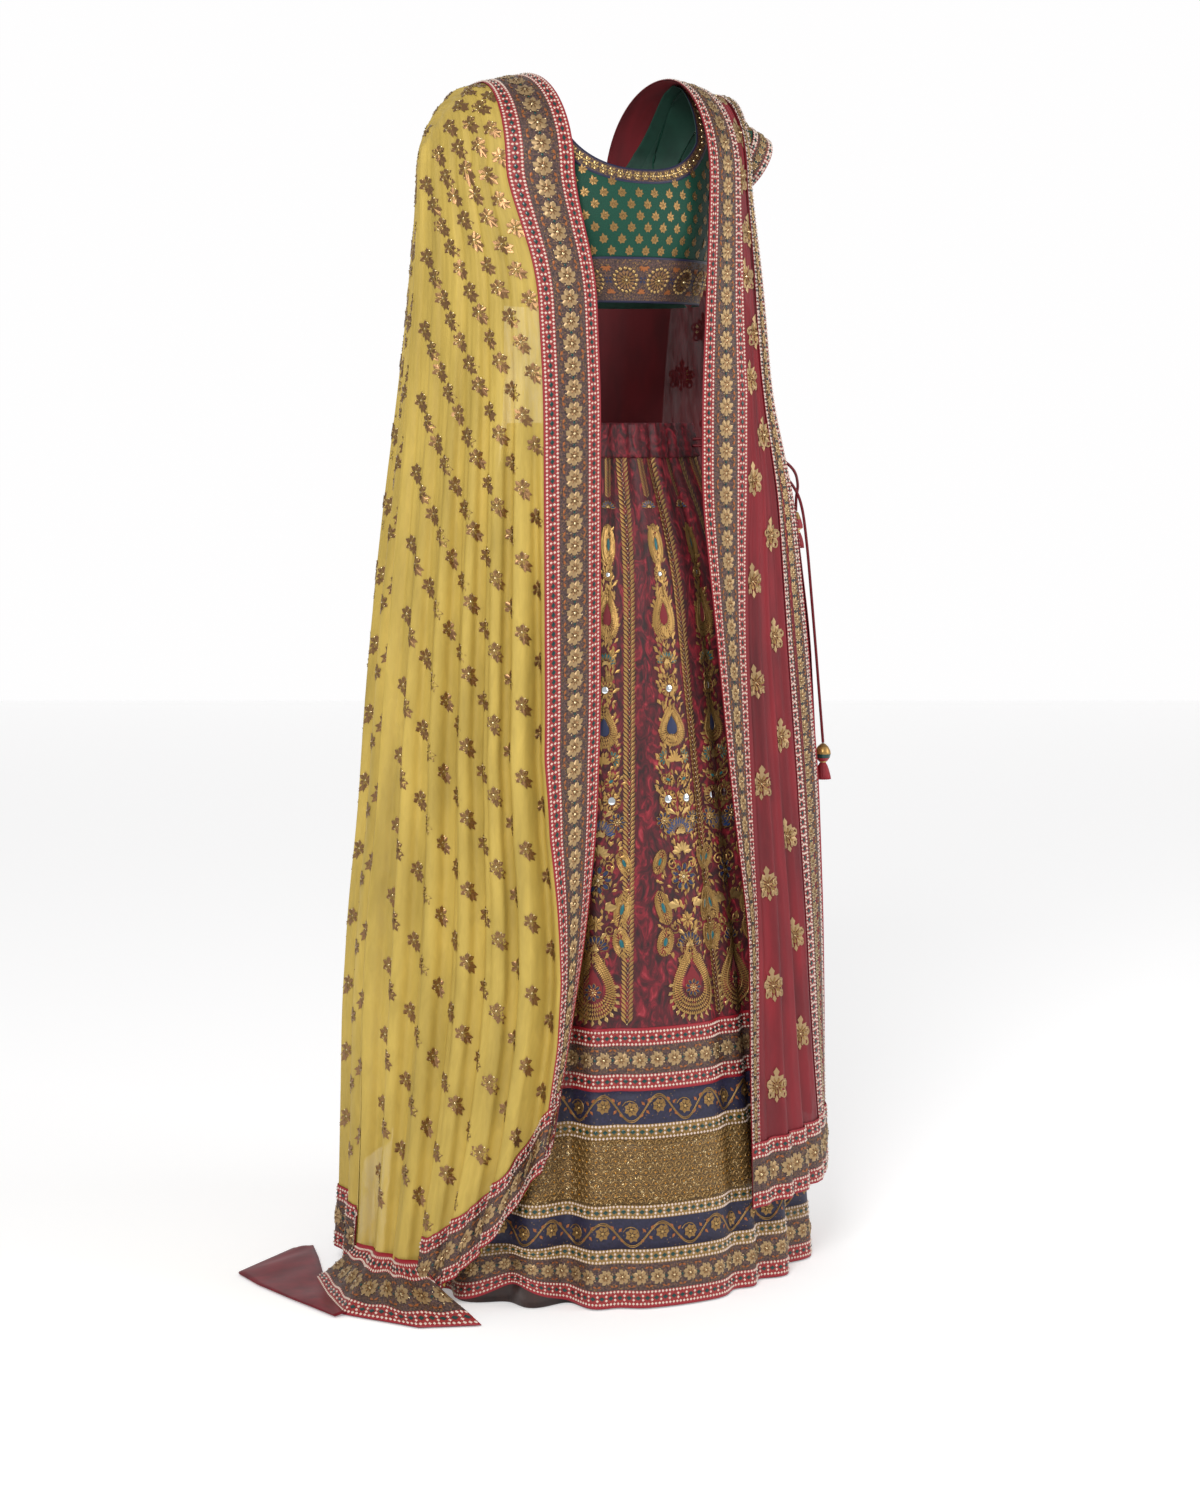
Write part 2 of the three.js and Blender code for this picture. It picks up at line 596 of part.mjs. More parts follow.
// Angle and radius at a height for station s, 0 at the border's free edge and 1 at the wearer's side
function fallStation(drape, s, z) {
  const at = (column) => tableValue(drape.levels, 'z', z, column);
  const edge = at('edge');
  const side = at('side');
  const edgeR = at('edgeR');
  const turn = Math.sign(side - edge);
  const border = tableValue(drape.border, 'z', z, 'width');
  const seam = edge + turn * Math.min((border / edgeR) / RAD, Math.abs(side - edge) * 0.6);
  const angle = s <= EDGE_SHARE
    ? THREE.MathUtils.lerp(edge, seam, s / EDGE_SHARE)
    : THREE.MathUtils.lerp(seam, side, (s - EDGE_SHARE) / (1 - EDGE_SHARE));
  const mid = at('mid');
  const beforeMid = turn * (mid - angle) > 0;
  const t = beforeMid ? (angle - edge) / (mid - edge) : (angle - mid) / (side - mid);
  let radius = beforeMid
    ? THREE.MathUtils.lerp(edgeR, at('midR'), t)
    : THREE.MathUtils.lerp(at('midR'), at('sideR'), t);
  for (const fold of drape.folds) {
    const grown = THREE.MathUtils.smoothstep(fold.from - z, 0, 500);
    const reach = (s - fold.s) / fold.width;
    radius += fold.depth * grown * (0.35 - Math.exp(-reach * reach)) * Math.exp(-(((s - fold.s) / 0.12) ** 2));
  }
  return { angle, radius };
}

function drapePoint(drape, s, z, sign, arc = 1) {
  const { angle, radius } = fallStation(drape, s, z);
  const low = {
    x: radius * Math.sin(angle * RAD),
    y: -radius * Math.cos(angle * RAD),
  };
  if (arc >= 1) {
    return new THREE.Vector3(sign * low.x, low.y, z);
  }
  const ridge = ridgePoint(drape, s);
  const out = Math.sin(arc * 90 * RAD);
  const fall = Math.cos(arc * 90 * RAD);
  const x = THREE.MathUtils.lerp(ridge.x, low.x, out);
  const y = THREE.MathUtils.lerp(ridge.y, low.y, out);
  return new THREE.Vector3(sign * x, y, z + (ridge.z - z) * fall);
}

// Grid of a dupatta's stretch between two stations, from the ridge or an upper height down
function drapeGrid(drape, sign, behind, stations, part) {
  const bottomOf = (s) => tableValue(drape.bottom, 's', s, 'z');
  const gap = behind ? 1.2 * SEAM_GAP : -1.2 * SEAM_GAP;
  const ordered = (sign > 0) === behind ? [...stations].reverse() : stations;
  const rows = [];
  const shift = (point) => {
    point.y += gap;
    return point;
  };
  if (part.fromRidge) {
    for (const arc of steps(0, 1, RIDGE_ROWS)) {
      rows.push(ordered.map((s) => shift(drapePoint(drape, s, FALL_START, sign, arc))));
    }
  }
  const firstShare = part.fromRidge ? 1 : 0;
  for (let i = firstShare; i <= part.rows; i += 1) {
    rows.push(ordered.map((s) => {
      const top = part.fromRidge ? FALL_START : bottomOf(s) + part.top;
      const z = THREE.MathUtils.lerp(top, bottomOf(s) + part.bottom, i / part.rows);
      return shift(drapePoint(drape, s, z, sign));
    }));
  }
  return rows;
}

function addDupatta(name, drape, sign, behind, colour, outerEdge) {
  const place = behind ? 'back' : 'front';
  const lastStation = outerEdge ? drape.outerShare : 1;
  const seam = 0.003;
  const field = steps(EDGE_SHARE + seam, lastStation - seam, outerEdge ? (behind ? 7 : 6) : 13);
  const border = steps(0, EDGE_SHARE - seam, 2);
  const outer = outerEdge ? steps(lastStation + seam, 1, behind ? 2 : 3) : [];
  const cloth = { fromRidge: true, rows: FALL_ROWS, bottom: BORDER_WIDTH + SEAM_GAP };
  const end = { fromRidge: false, rows: 1, top: BORDER_WIDTH - 1.6 * SEAM_GAP, bottom: 0 };
  const trim = 0x6b4438;
  const add = (suffix, stations, part, wall, shade) => {
    const grid = drapeGrid(drape, sign, behind, stations, part);
    addPiece(`${name}_${suffix}_${place}`, wallGeometry(grid, wall), shade);
  };
  add('chiffon', field, cloth, CHIFFON_WALL, colour);
  add('long_border', border, cloth, CHIFFON_WALL + 0.4, trim);
  add('end_border', [...border, ...field, ...outer], end, CHIFFON_WALL + 0.4, trim);
  if (outerEdge) {
    add('outer_border', outer, cloth, CHIFFON_WALL + 0.4, trim);
  }
}

// The end that lies on the floor outside the golden dupatta's wall
function addFloorEnd() {
  const stations = steps(FLOOR_END[0].s, 1, 10);
  const inner = stations.map((s) => {
    const wall = drapePoint(GOLD_FRONT, s, FLOOR_END_HEIGHT, -1);
    wall.z = FLOOR_END_INNER_HEIGHT;
    return wall;
  });
  const outer = stations.map((s) => {
    const at = (column) => tableValue(FLOOR_END, 's', s, column);
    return new THREE.Vector3(at('x'), at('y'), 1.5);
  });
  const middle = inner.map((p, i) => {
    const point = p.clone().lerp(outer[i], 0.5);
    point.z = FLOOR_END_HEIGHT + (i % 2) * 4;
    return point;
  });
  const rows = [inner, middle, outer].map((row) => [...row].reverse());
  addPiece('dupatta_gold_floor_end', wallGeometry(rows, CHIFFON_WALL + 0.4), 0x6b4438);
}

function addFloorCorner() {
  const rows = [0, 0.5, 1].map((t) => CORNER.map(({ inner, outer }) => new THREE.Vector3(
    THREE.MathUtils.lerp(inner[0], outer[0], t),
    THREE.MathUtils.lerp(inner[1], outer[1], t),
    CORNER_HEIGHT - 1.4 * Math.abs(1 - 2 * t),
  )).reverse());
  addPiece('dupatta_gold_corner', wallGeometry(rows, CHIFFON_WALL + 0.4), 0x5e0f16);
}

// Drawstring ends
function addCord({ name, tassel, points, steps: count, headRadius, headLength, skirtRadius, skirtLength }) {
  const curve = new THREE.CatmullRomCurve3(points.map((p) => new THREE.Vector3(...p)));
  const section = new THREE.Shape(Array.from({ length: CORD_SIDES }, (_, i) => new THREE.Vector2(
    (CORD_DIAMETER / 2) * Math.cos((i / CORD_SIDES) * 360 * RAD),
    (CORD_DIAMETER / 2) * Math.sin((i / CORD_SIDES) * 360 * RAD),
  )));
  const tube = new THREE.ExtrudeGeometry(section, { steps: count, extrudePath: curve, bevelEnabled: false });
  addPiece(name, tube, 0x5e0f16);
  const end = curve.getPoint(1);
  const bottom = headLength + skirtLength;
  const profile = [
    [0, 0], [headRadius * 0.35, 0], [headRadius * 0.9, -headLength * 0.45], [headRadius, -headLength * 0.75],
    [headRadius * 0.6, -headLength], [skirtRadius * 0.8, -headLength - skirtLength * 0.4],
    [skirtRadius, -bottom], [0, -bottom],
  ].map(([r, z]) => new THREE.Vector2(r, z)).reverse();
  const lathe = new THREE.LatheGeometry(profile, TASSEL_SIDES).rotateX(90 * RAD);
  lathe.translate(end.x, end.y, end.z - 1.2 * SEAM_GAP);
  addPiece(tassel, lathe, 0x5e0f16);
}

addCholi();
addSleeve('right', -1);
addSleeve('left', 1);
addSkirt();
addDupatta('dupatta_gold', GOLD_FRONT, -1, false, 0xb5962a, false);
addDupatta('dupatta_gold', GOLD_BACK, -1, true, 0xb5962a, false);
addDupatta('dupatta_maroon', MAROON_FRONT, 1, false, 0x6a0f18, true);
addDupatta('dupatta_maroon', MAROON_BACK, 1, true, 0x6a0f18, true);
addFloorEnd();
addFloorCorner();
CORD_ROUTES.forEach(addCord);

export default group;
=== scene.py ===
"""Looks of a lehenga choli with two dupattas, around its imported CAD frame.

Sizes and places are in millimetres, and heights are above the floor, as in the part's own source.
to_row() turns them into the row frame's metres when a mesh is made.
"""

import json
import math

import bpy
import numpy as np
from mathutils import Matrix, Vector

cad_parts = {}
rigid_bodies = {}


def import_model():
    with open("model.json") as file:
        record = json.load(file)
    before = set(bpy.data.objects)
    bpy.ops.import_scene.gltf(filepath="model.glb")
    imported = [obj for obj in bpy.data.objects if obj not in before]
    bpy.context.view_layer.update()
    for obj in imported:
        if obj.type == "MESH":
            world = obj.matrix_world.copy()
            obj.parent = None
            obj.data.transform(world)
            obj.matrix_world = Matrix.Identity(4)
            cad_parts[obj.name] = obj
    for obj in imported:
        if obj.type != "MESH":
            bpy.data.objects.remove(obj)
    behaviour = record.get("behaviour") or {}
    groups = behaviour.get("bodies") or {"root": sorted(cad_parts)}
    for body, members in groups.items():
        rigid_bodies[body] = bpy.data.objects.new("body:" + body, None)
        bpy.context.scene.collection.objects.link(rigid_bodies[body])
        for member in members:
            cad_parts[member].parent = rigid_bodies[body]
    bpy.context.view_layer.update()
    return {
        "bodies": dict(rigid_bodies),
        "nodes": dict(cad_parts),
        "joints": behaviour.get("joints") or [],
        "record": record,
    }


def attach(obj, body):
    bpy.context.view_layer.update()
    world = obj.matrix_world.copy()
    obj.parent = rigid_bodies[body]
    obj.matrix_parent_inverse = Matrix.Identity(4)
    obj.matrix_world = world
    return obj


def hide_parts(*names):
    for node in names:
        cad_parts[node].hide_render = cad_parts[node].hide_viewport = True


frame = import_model()
NEEDLEWORK_SEED = 11
random = np.random.default_rng(NEEDLEWORK_SEED)

SHOULDER_HEIGHT = 1440.0
METRES = 0.001

# Camera at the photograph's viewing angle
VIEW_AZIMUTH = math.radians(-27)
VIEW_ELEVATION = math.radians(6.7)
VIEW_DISTANCE = 3.5
VIEW_TARGET = Vector((0, 0, -0.80308))
LENS = 67.71
SENSOR_HEIGHT = 36

# Choli
CHOLI_HEM_HEIGHT = 1182.0
CHOLI_WALL = 1.2
NECK_HALF_WIDTH = 100.0
NECK_LOW = {"front": 1336.0, "back": 1322.0}
SHOULDER_TOP = 1458.0
SHOULDER_SLOPE = 0.22
SHOULDER_FLAT = 60.0
SHOULDER_ROUNDING = 80.0
SHOULDER_TIP = 165.0
ARMPIT_X = 140.0
ARMPIT_HEIGHT = 1325.0
ARMHOLE_INSET = 22.0
NECK_BAND_WIDTH = 17.0
HEM_BAND_WIDTH = 52.0
NECK_SHARE = 0.42
TIP_SHARE = 0.62
SEAM_GAP = 0.4
TORSO_BLUR = 12
# Torso sections: height, half width, depth in front, depth behind
TORSO = np.array([
    [1150, 118, 94, 88],
    [1182, 122, 100, 90],
    [1230, 132, 114, 96],
    [1270, 138, 124, 100],
    [1310, 142, 120, 102],
    [1350, 152, 108, 100],
    [1400, 172, 94, 92],
    [1460, 188, 80, 80],
], float)
CUFFS = {
    -1: {"x": 172.0, "y": -4.0, "z": 1337.0, "radius": 36.0, "tilt": 0.81},
    1: {"x": 180.0, "y": -4.0, "z": 1371.0, "radius": 38.0, "tilt": 1.73},
}
SLEEVE_BAND = 34.0
SLEEVE_PUFF = 7.0

# Skirt sections: height, half width, half depth
SKIRT = np.array([
    [0, 282, 248],
    [150, 268, 236],
    [330, 245, 215],
    [500, 225, 190],
    [700, 200, 163],
    [850, 180, 143],
    [910, 163, 127],
    [960, 138, 108],
    [1000, 120, 92],
    [1045, 112, 84],
], float)
WAIST_TOP = 1040.0
WAIST_BOTTOM = 1000.0
SKIRT_WALL = 1.6
SKIRT_BLUR = 22
BAND_TOP = 332.0
# Deep folds: angle from the front towards the wearer's left, depth at the hem, half width
SKIRT_FOLDS = (
    (-37, 34, 6), (-22, 9, 5), (17, 16, 5), (29, 22, 5), (46, 26, 6), (67, 30, 7),
    (90, 26, 7), (112, 32, 7), (134, 27, 6), (155, 33, 7), (178, 28, 7), (-160, 32, 6),
    (-139, 26, 7), (-117, 33, 7), (-95, 27, 7), (-74, 31, 6), (-54, 24, 6),
)
HEM_LIFT = {"at": -50.0, "height": 24.0, "width": 9.0}
LINING = {"top": 60.0, "bottom": 1.0, "inset": 2.1}

# Dupattas
FALL_START = 1330.0
FALL_BLUR = 30
FOLD_GROWTH = 500
RIDGE_RISE = 2
EDGE_SHARE = 0.25
BORDER_WIDTH = 78.0
GOLD_RIDGE = (100.0, 160.0, 236.0)
GOLD_RIDGE_DROP = 76.0
MAROON_RIDGE = (86.0, 126.0, 178.0)
# Levels: height, then angle and radius of the border's free edge, of the middle and of the wearer's side.
# Border: its width at a height. Bottom: height of the lower edge at a station. Folds: station, depth, half
# width and the height where each begins.
GOLD_FRONT = {
    "ridge": GOLD_RIDGE, "drop": GOLD_RIDGE_DROP,
    "levels": np.array([
        [0, 46, 282, 60, 312, 90, 330],
        [80, 44, 276, 60, 304, 90, 322],
        [200, 39, 264, 60, 292, 90, 316],
        [325, 35, 252, 60, 282, 90, 312],
        [450, 31, 234, 60, 268, 90, 304],
        [575, 28, 215, 60, 254, 90, 292],
        [699, 27, 198, 60, 245, 90, 284],
        [824, 27, 186, 60, 236, 90, 274],
        [949, 27, 172, 60, 225, 90, 262],
        [1074, 27, 160, 60, 214, 90, 250],
        [1211, 29, 152, 60, 203, 90, 241],
        [1330, 40, 143, 60, 188, 90, 238],
    ], float),
    "border": ((200, 9), (318, 11), (390, 18), (485, 34), (560, 48), (650, 56)),
    "bottom": ((0, 206), (0.25, 168), (0.31, 136), (0.38, 84), (0.5, 38), (0.62, 7), (1, 7)),
    "hanging_share": 0.64,
    "folds": ((0.31, 24, 0.04, 1150), (0.42, 11, 0.035, 1250), (0.54, 9, 0.04, 1280),
              (0.67, 12, 0.045, 1200), (0.8, 10, 0.04, 1100), (0.92, 9, 0.04, 1000)),
}
GOLD_BACK = {
    "ridge": GOLD_RIDGE, "drop": GOLD_RIDGE_DROP,
    "levels": np.array([
        [0, 157, 286, 125, 320, 90.1, 330],
        [80, 157, 278, 125, 314, 90.1, 322],
        [200, 157, 266, 125, 314, 90.1, 316],
        [325, 157, 252, 125, 313, 90.1, 312],
        [450, 157, 236, 125, 304, 90.1, 304],
        [575, 157, 218, 125, 288, 90.1, 292],
        [699, 157, 204, 125, 279, 90.1, 284],
        [824, 157, 190, 125, 270, 90.1, 274],
        [949, 157, 172, 125, 256, 90.1, 262],
        [1074, 157, 158, 125, 240, 90.1, 250],
        [1211, 155, 152, 125, 222, 90.1, 241],
        [1330, 150, 146, 125, 196, 90.1, 238],
    ], float),
    "border": ((0, 78), (1330, 78)),
    "bottom": ((0, 150), (0.3, 120), (0.7, 24), (1, 7)),
    "folds": ((0.33, 18, 0.05, 1200), (0.5, 14, 0.04, 1250), (0.66, 12, 0.05, 1150),
              (0.84, 11, 0.04, 1050)),
}
MAROON_FRONT = {
    "ridge": MAROON_RIDGE, "drop": 0.0, "outer_share": 0.68,
    "levels": np.array([
        [100, 18, 258, 44, 276, 76, 290],
        [262, 20, 245, 44, 264, 70, 283],
        [431, 22.8, 232, 40, 248, 66, 277],
        [600, 22.6, 206, 40, 228, 64, 270],
        [774, 21.6, 186, 40, 210, 63, 256],
        [949, 21.7, 161, 40, 192, 62, 236],
        [1074, 23.6, 156, 38, 176, 58, 208],
        [1199, 27, 155, 40, 172, 57, 197],
        [1330, 36, 146, 46, 164, 62, 180],
    ], float),
    "border": ((262, 12), (431, 14), (600, 26), (774, 36), (949, 50), (1074, 56)),
    "bottom": ((0, 104), (1, 110)),
    "folds": ((0.34, 8, 0.05, 1250), (0.45, 7, 0.05, 1200), (0.56, 8, 0.05, 1220)),
}
MAROON_BACK = {
    "ridge": MAROON_RIDGE, "drop": 0.0, "outer_share": 0.86,
    "levels": np.array([
        [100, 157, 276, 110, 298, 84, 288],
        [262, 157, 260, 110, 290, 78, 280],
        [431, 157, 238, 110, 284, 74, 276],
        [600, 157, 214, 110, 272, 72, 270],
        [774, 157, 196, 110, 256, 70, 258],
        [949, 157, 172, 110, 236, 72, 238],
        [1074, 157, 158, 112, 222, 84, 222],
        [1199, 155, 152, 118, 212, 96, 216],
        [1330, 150, 146, 136, 176, 124, 196],
    ], float),
    "border": ((0, 78), (1330, 78)),
    "bottom": ((0, 176), (1, 152)),
    "folds": ((0.36, 16, 0.05, 1200), (0.52, 12, 0.05, 1250), (0.68, 13, 0.05, 1150)),
}
# The golden dupatta's end on the floor: station on its wall and the far edge's place
FLOOR_END = np.array([
    [0.63, -262, -212],
    [0.72, -330, -187],
    [0.84, -391, -100],
    [0.93, -383, -30],
    [1, -367, 45],
], float)
CORNER_INNER = ((-384, -104), (-374, -32), (-356, 46), (-334, 120), (-321, 172))
CORNER_OUTER = ((-402, -106), (-424, -20), (-440, 50), (-446, 106), (-348, 172))

# Drawstring ends
CORD_DIAMETER = 3.6
CORDS = {
    "upper": (
        (102.7, -48.5, 1020), (122, -59, 1021), (146, -70, 1016), (176, -80, 1008), (205, -84, 997),
        (228, -80, 982), (245, -62, 964), (252.4, -46.4, 947), (253, -45, 930),
    ),
    "lower": (
        (99.3, -54.4, 1012), (119, -67, 1012), (142, -76, 1006), (172, -86, 996), (200, -90, 982),
        (222, -90, 962), (238, -84, 936), (247, -82, 890), (255, -80, 830), (263, -79, 760),
        (270, -79, 690), (275, -79, 640),
    ),
}


def to_row(points):
    """Millimetres above the floor turned into the row frame's metres."""
    moved = np.array(points, float)
    moved[..., 2] -= SHOULDER_HEIGHT
    return moved * METRES


def lerp(a, b, t):
    return a + (b - a) * t


def smooth_step(value, low, high):
    t = np.clip((value - low) / (high - low), 0, 1)
    return t * t * (3 - 2 * t)


def table_value(table, column, height, blur=0.0):
    """A table's column at a height. The blur softens the bends between its rows."""
    shifts = (-1, -0.5, 0, 0.5, 1) if blur else (0,)
    values = [np.interp(height + shift * blur, table[:, 0], table[:, column]) for shift in shifts]
    return sum(values) / len(values)


def add_object(name, data):
    made = bpy.data.objects.new(name, data)
    bpy.context.scene.collection.objects.link(made)
    return made


def add_camera():
    data = bpy.data.cameras.new("camera")
    data.lens = LENS
    data.sensor_fit = "VERTICAL"
    data.sensor_height = SENSOR_HEIGHT
    camera = add_object("camera", data)
    back = Vector((
        math.sin(VIEW_AZIMUTH) * math.cos(VIEW_ELEVATION),
        -math.cos(VIEW_AZIMUTH) * math.cos(VIEW_ELEVATION),
        math.sin(VIEW_ELEVATION),
    ))
    camera.location = VIEW_TARGET + back * VIEW_DISTANCE
    camera.rotation_euler = back.to_track_quat("Z", "Y").to_euler()
    bpy.context.scene.camera = camera


add_camera()


# Materials
SHEEN_ROUGHNESS = 0.4
SHEEN_TINT_BASE = 0.12
SHEEN_TINT_GAIN = 2.2
NOISE_ROUGHNESS = 0.55
BUMP_DISTANCE = 0.001


def plain_material(name, colour, roughness, metallic=0.0, sheen=0.0, specular=0.5):
    material = bpy.data.materials.new(name)
    material.use_nodes = True
    shader = material.node_tree.nodes["Principled BSDF"]
    shader.inputs["Base Color"].default_value = (*colour, 1)
    shader.inputs["Roughness"].default_value = roughness
    shader.inputs["Metallic"].default_value = metallic
    shader.inputs["Specular IOR Level"].default_value = specular
    shader.inputs["Sheen Weight"].default_value = sheen
    shader.inputs["Sheen Roughness"].default_value = SHEEN_ROUGHNESS
    tint = (min(1, SHEEN_TINT_BASE + SHEEN_TINT_GAIN * part) for part in colour)
    shader.inputs["Sheen Tint"].default_value = (*tint, 1)
    return material


def add_node(material, kind, values, source=None, into=None):
    """A node with these values on its sockets and, if there is a source, a link into one of them."""
    node = material.node_tree.nodes.new(kind)
    for name, value in values.items():
        node.inputs[name].default_value = value
    if source is not None:
        material.node_tree.links.new(source, node.inputs[into])
    return node


def noise(material, scale, detail, stretch, distortion):
    """Noise over the cloth's own coordinates in metres, stretched."""
    cloth_map = add_node(material, "ShaderNodeUVMap", {})
    cloth_map.uv_map = "cloth"
    mapping = add_node(material, "ShaderNodeMapping", {"Scale": stretch}, cloth_map.outputs["UV"], "Vector")
    values = {"Scale": scale, "Detail": detail, "Distortion": distortion, "Roughness": NOISE_ROUGHNESS}
    texture = add_node(material, "ShaderNodeTexNoise", values, mapping.outputs["Vector"], "Vector")
    return texture.outputs["Fac"]


def colour_ramp(material, value, stops):
    node = add_node(material, "ShaderNodeValToRGB", {}, value, "Fac")
    elements = node.color_ramp.elements
    while len(elements) < len(stops):
        elements.new(0.5)
    for element, (position, colour) in zip(elements, stops):
        element.position = position
        element.color = (*colour, 1)
    return node.outputs["Color"]


def set_input(material, name, value):
    shader = material.node_tree.nodes["Principled BSDF"]
    material.node_tree.links.new(value, shader.inputs[name])


def mottled_material(name, stops, scale, roughness, bump, detail=3.0, stretch=(1, 1, 1), distortion=0.0,
                     **finish):
    """Cloth whose colour and small relief vary with one noise."""
    material = plain_material(name, stops[0][1], roughness, **finish)
    value = noise(material, scale, detail, stretch, distortion)
    set_input(material, "Base Color", colour_ramp(material, value, stops))
    values = {"Strength": bump, "Distance": BUMP_DISTANCE}
    relief = add_node(material, "ShaderNodeBump", values, value, "Height")
    set_input(material, "Normal", relief.outputs["Normal"])
    return material


def chiffon_material(name, stops, alpha_low, alpha_high):
    """Sheer crinkled cloth: its threads cover more where the crinkle is dense."""
    material = mottled_material(name, stops, 14, 0.65, 0.2, stretch=(2, 0.4, 1), sheen=0.15)
    crinkle = noise(material, 160, 2, (1, 0.2, 1), 0.8)
    values = {"From Min": 0.3, "From Max": 0.7, "To Min": alpha_low, "To Max": alpha_high}
    limits = add_node(material, "ShaderNodeMapRange", values, crinkle, "Value")
    set_input(material, "Alpha", limits.outputs["Result"])
    return material


MATERIALS = {
    # Crushed velvet: the darker stops of this ramp are its dark maroon colour, and its lighter pinkish-red
    # stops are painted highlights in streaks along the crushed pile.
    "velvet": mottled_material(
        "crushed_velvet_painted_sheen",
        ((0.36, (0.020, 0.001, 0.002)), (0.52, (0.085, 0.002, 0.007)), (0.64, (0.22, 0.007, 0.017)),
         (0.76, (0.42, 0.045, 0.06))),
        85, 0.6, 0.8, 6, (1, 0.5, 1), 1.9, sheen=0.3),
    "brocade": mottled_material(
        "green_brocade", ((0.3, (0.002, 0.034, 0.020)), (0.7, (0.005, 0.078, 0.045))),
        900, 0.6, 0.3, sheen=0.1, specular=0.3),
    "green_lining": mottled_material(
        "green_lining", ((0.3, (0.004, 0.035, 0.022)), (0.7, (0.007, 0.055, 0.034))), 60, 0.7, 0.1),
    "maroon_silk": mottled_material(
        "maroon_silk", ((0.3, (0.10, 0.002, 0.007)), (0.7, (0.19, 0.005, 0.013))),
        40, 0.5, 0.2, sheen=0.05, specular=0.3),
    "satin_lining": mottled_material(
        "brown_satin", ((0.3, (0.016, 0.006, 0.005)), (0.7, (0.055, 0.022, 0.016))),
        30, 0.3, 0.1),
    "gold_chiffon": chiffon_material(
        "gold_chiffon", ((0.3, (0.41, 0.285, 0.050)), (0.7, (0.61, 0.43, 0.085))), 0.88, 0.98),
    "maroon_chiffon": chiffon_material(
        "maroon_chiffon", ((0.3, (0.10, 0.002, 0.006)), (0.7, (0.24, 0.004, 0.012))), 0.97, 0.995),
    "pearls": mottled_material(
        "red_ground", ((0.35, (0.20, 0.008, 0.012)), (0.65, (0.36, 0.030, 0.025))), 500, 0.6, 0.3),
    "pearls_mustard": mottled_material(
        "mustard_ground", ((0.35, (0.16, 0.085, 0.020)), (0.65, (0.33, 0.19, 0.045))), 500, 0.6, 0.3),
    "flowers": mottled_material(
        "brown_ground", ((0.36, (0.020, 0.010, 0.013)), (0.64, (0.12, 0.060, 0.042))), 420, 0.55, 0.6),
    "vine": mottled_material(
        "navy_ground", ((0.3, (0.007, 0.006, 0.020)), (0.7, (0.020, 0.018, 0.055))), 300, 0.6, 0.2),
    "lattice": mottled_material(
        "antique_gold_ground", ((0.36, (0.045, 0.024, 0.008)), (0.64, (0.20, 0.115, 0.032))), 420, 0.45, 0.6,
        metallic=0.2),
}
# Name, colour, roughness, and the metallic and sheen shares where there are any
PLAIN_MATERIALS = {
    "piping": ("maroon_piping", (0.30, 0.008, 0.018), 0.5),
    "navy_piping": ("navy_piping", (0.012, 0.012, 0.045), 0.5),
    "pearl": ("pearl", (0.70, 0.55, 0.46), 0.3),
    "gold": ("gold_bead", (0.50, 0.325, 0.125), 0.34, 0.85),
    "gold_pale": ("pale_gold_thread", (0.40, 0.265, 0.13), 0.42, 0.6),
    "zari": ("antique_zari", (0.30, 0.175, 0.062), 0.42, 0.75),
    "copper": ("bronze_sequin", (0.27, 0.145, 0.065), 0.34, 0.8),
    "stone": ("green_stone", (0.008, 0.045, 0.040), 0.25),
    "navy_thread": ("navy_thread", (0.012, 0.02, 0.07), 0.55),
    "blue_thread": ("blue_thread", (0.014, 0.050, 0.17), 0.45),
    "teal_thread": ("teal_thread", (0.003, 0.115, 0.135), 0.4),
    "mirror": ("mirror", (0.85, 0.9, 0.95), 0.06, 1.0),
    "pearl_gold": ("light_gold_bead", (0.85, 0.66, 0.36), 0.15, 0.7),
    "mauve": ("mauve_bead", (0.125, 0.062, 0.066), 0.4),
    "amber": ("copper_thread", (0.34, 0.11, 0.03), 0.45, 0.4),
    "amber_bead": ("amber_bead", (0.62, 0.26, 0.02), 0.2, 0.3),
    "gold_thread": ("gold_thread", (0.46, 0.27, 0.085), 0.36, 0.75),
    "velvet_ground": ("inner_velvet", (0.18, 0.008, 0.014), 0.7, 0.0, 0.4),
}
for kind, values in PLAIN_MATERIALS.items():
    MATERIALS[kind] = plain_material(*values)
MATERIALS["rosettes"] = MATERIALS["flowers"]
MATERIALS["small_flowers"] = MATERIALS["flowers"]


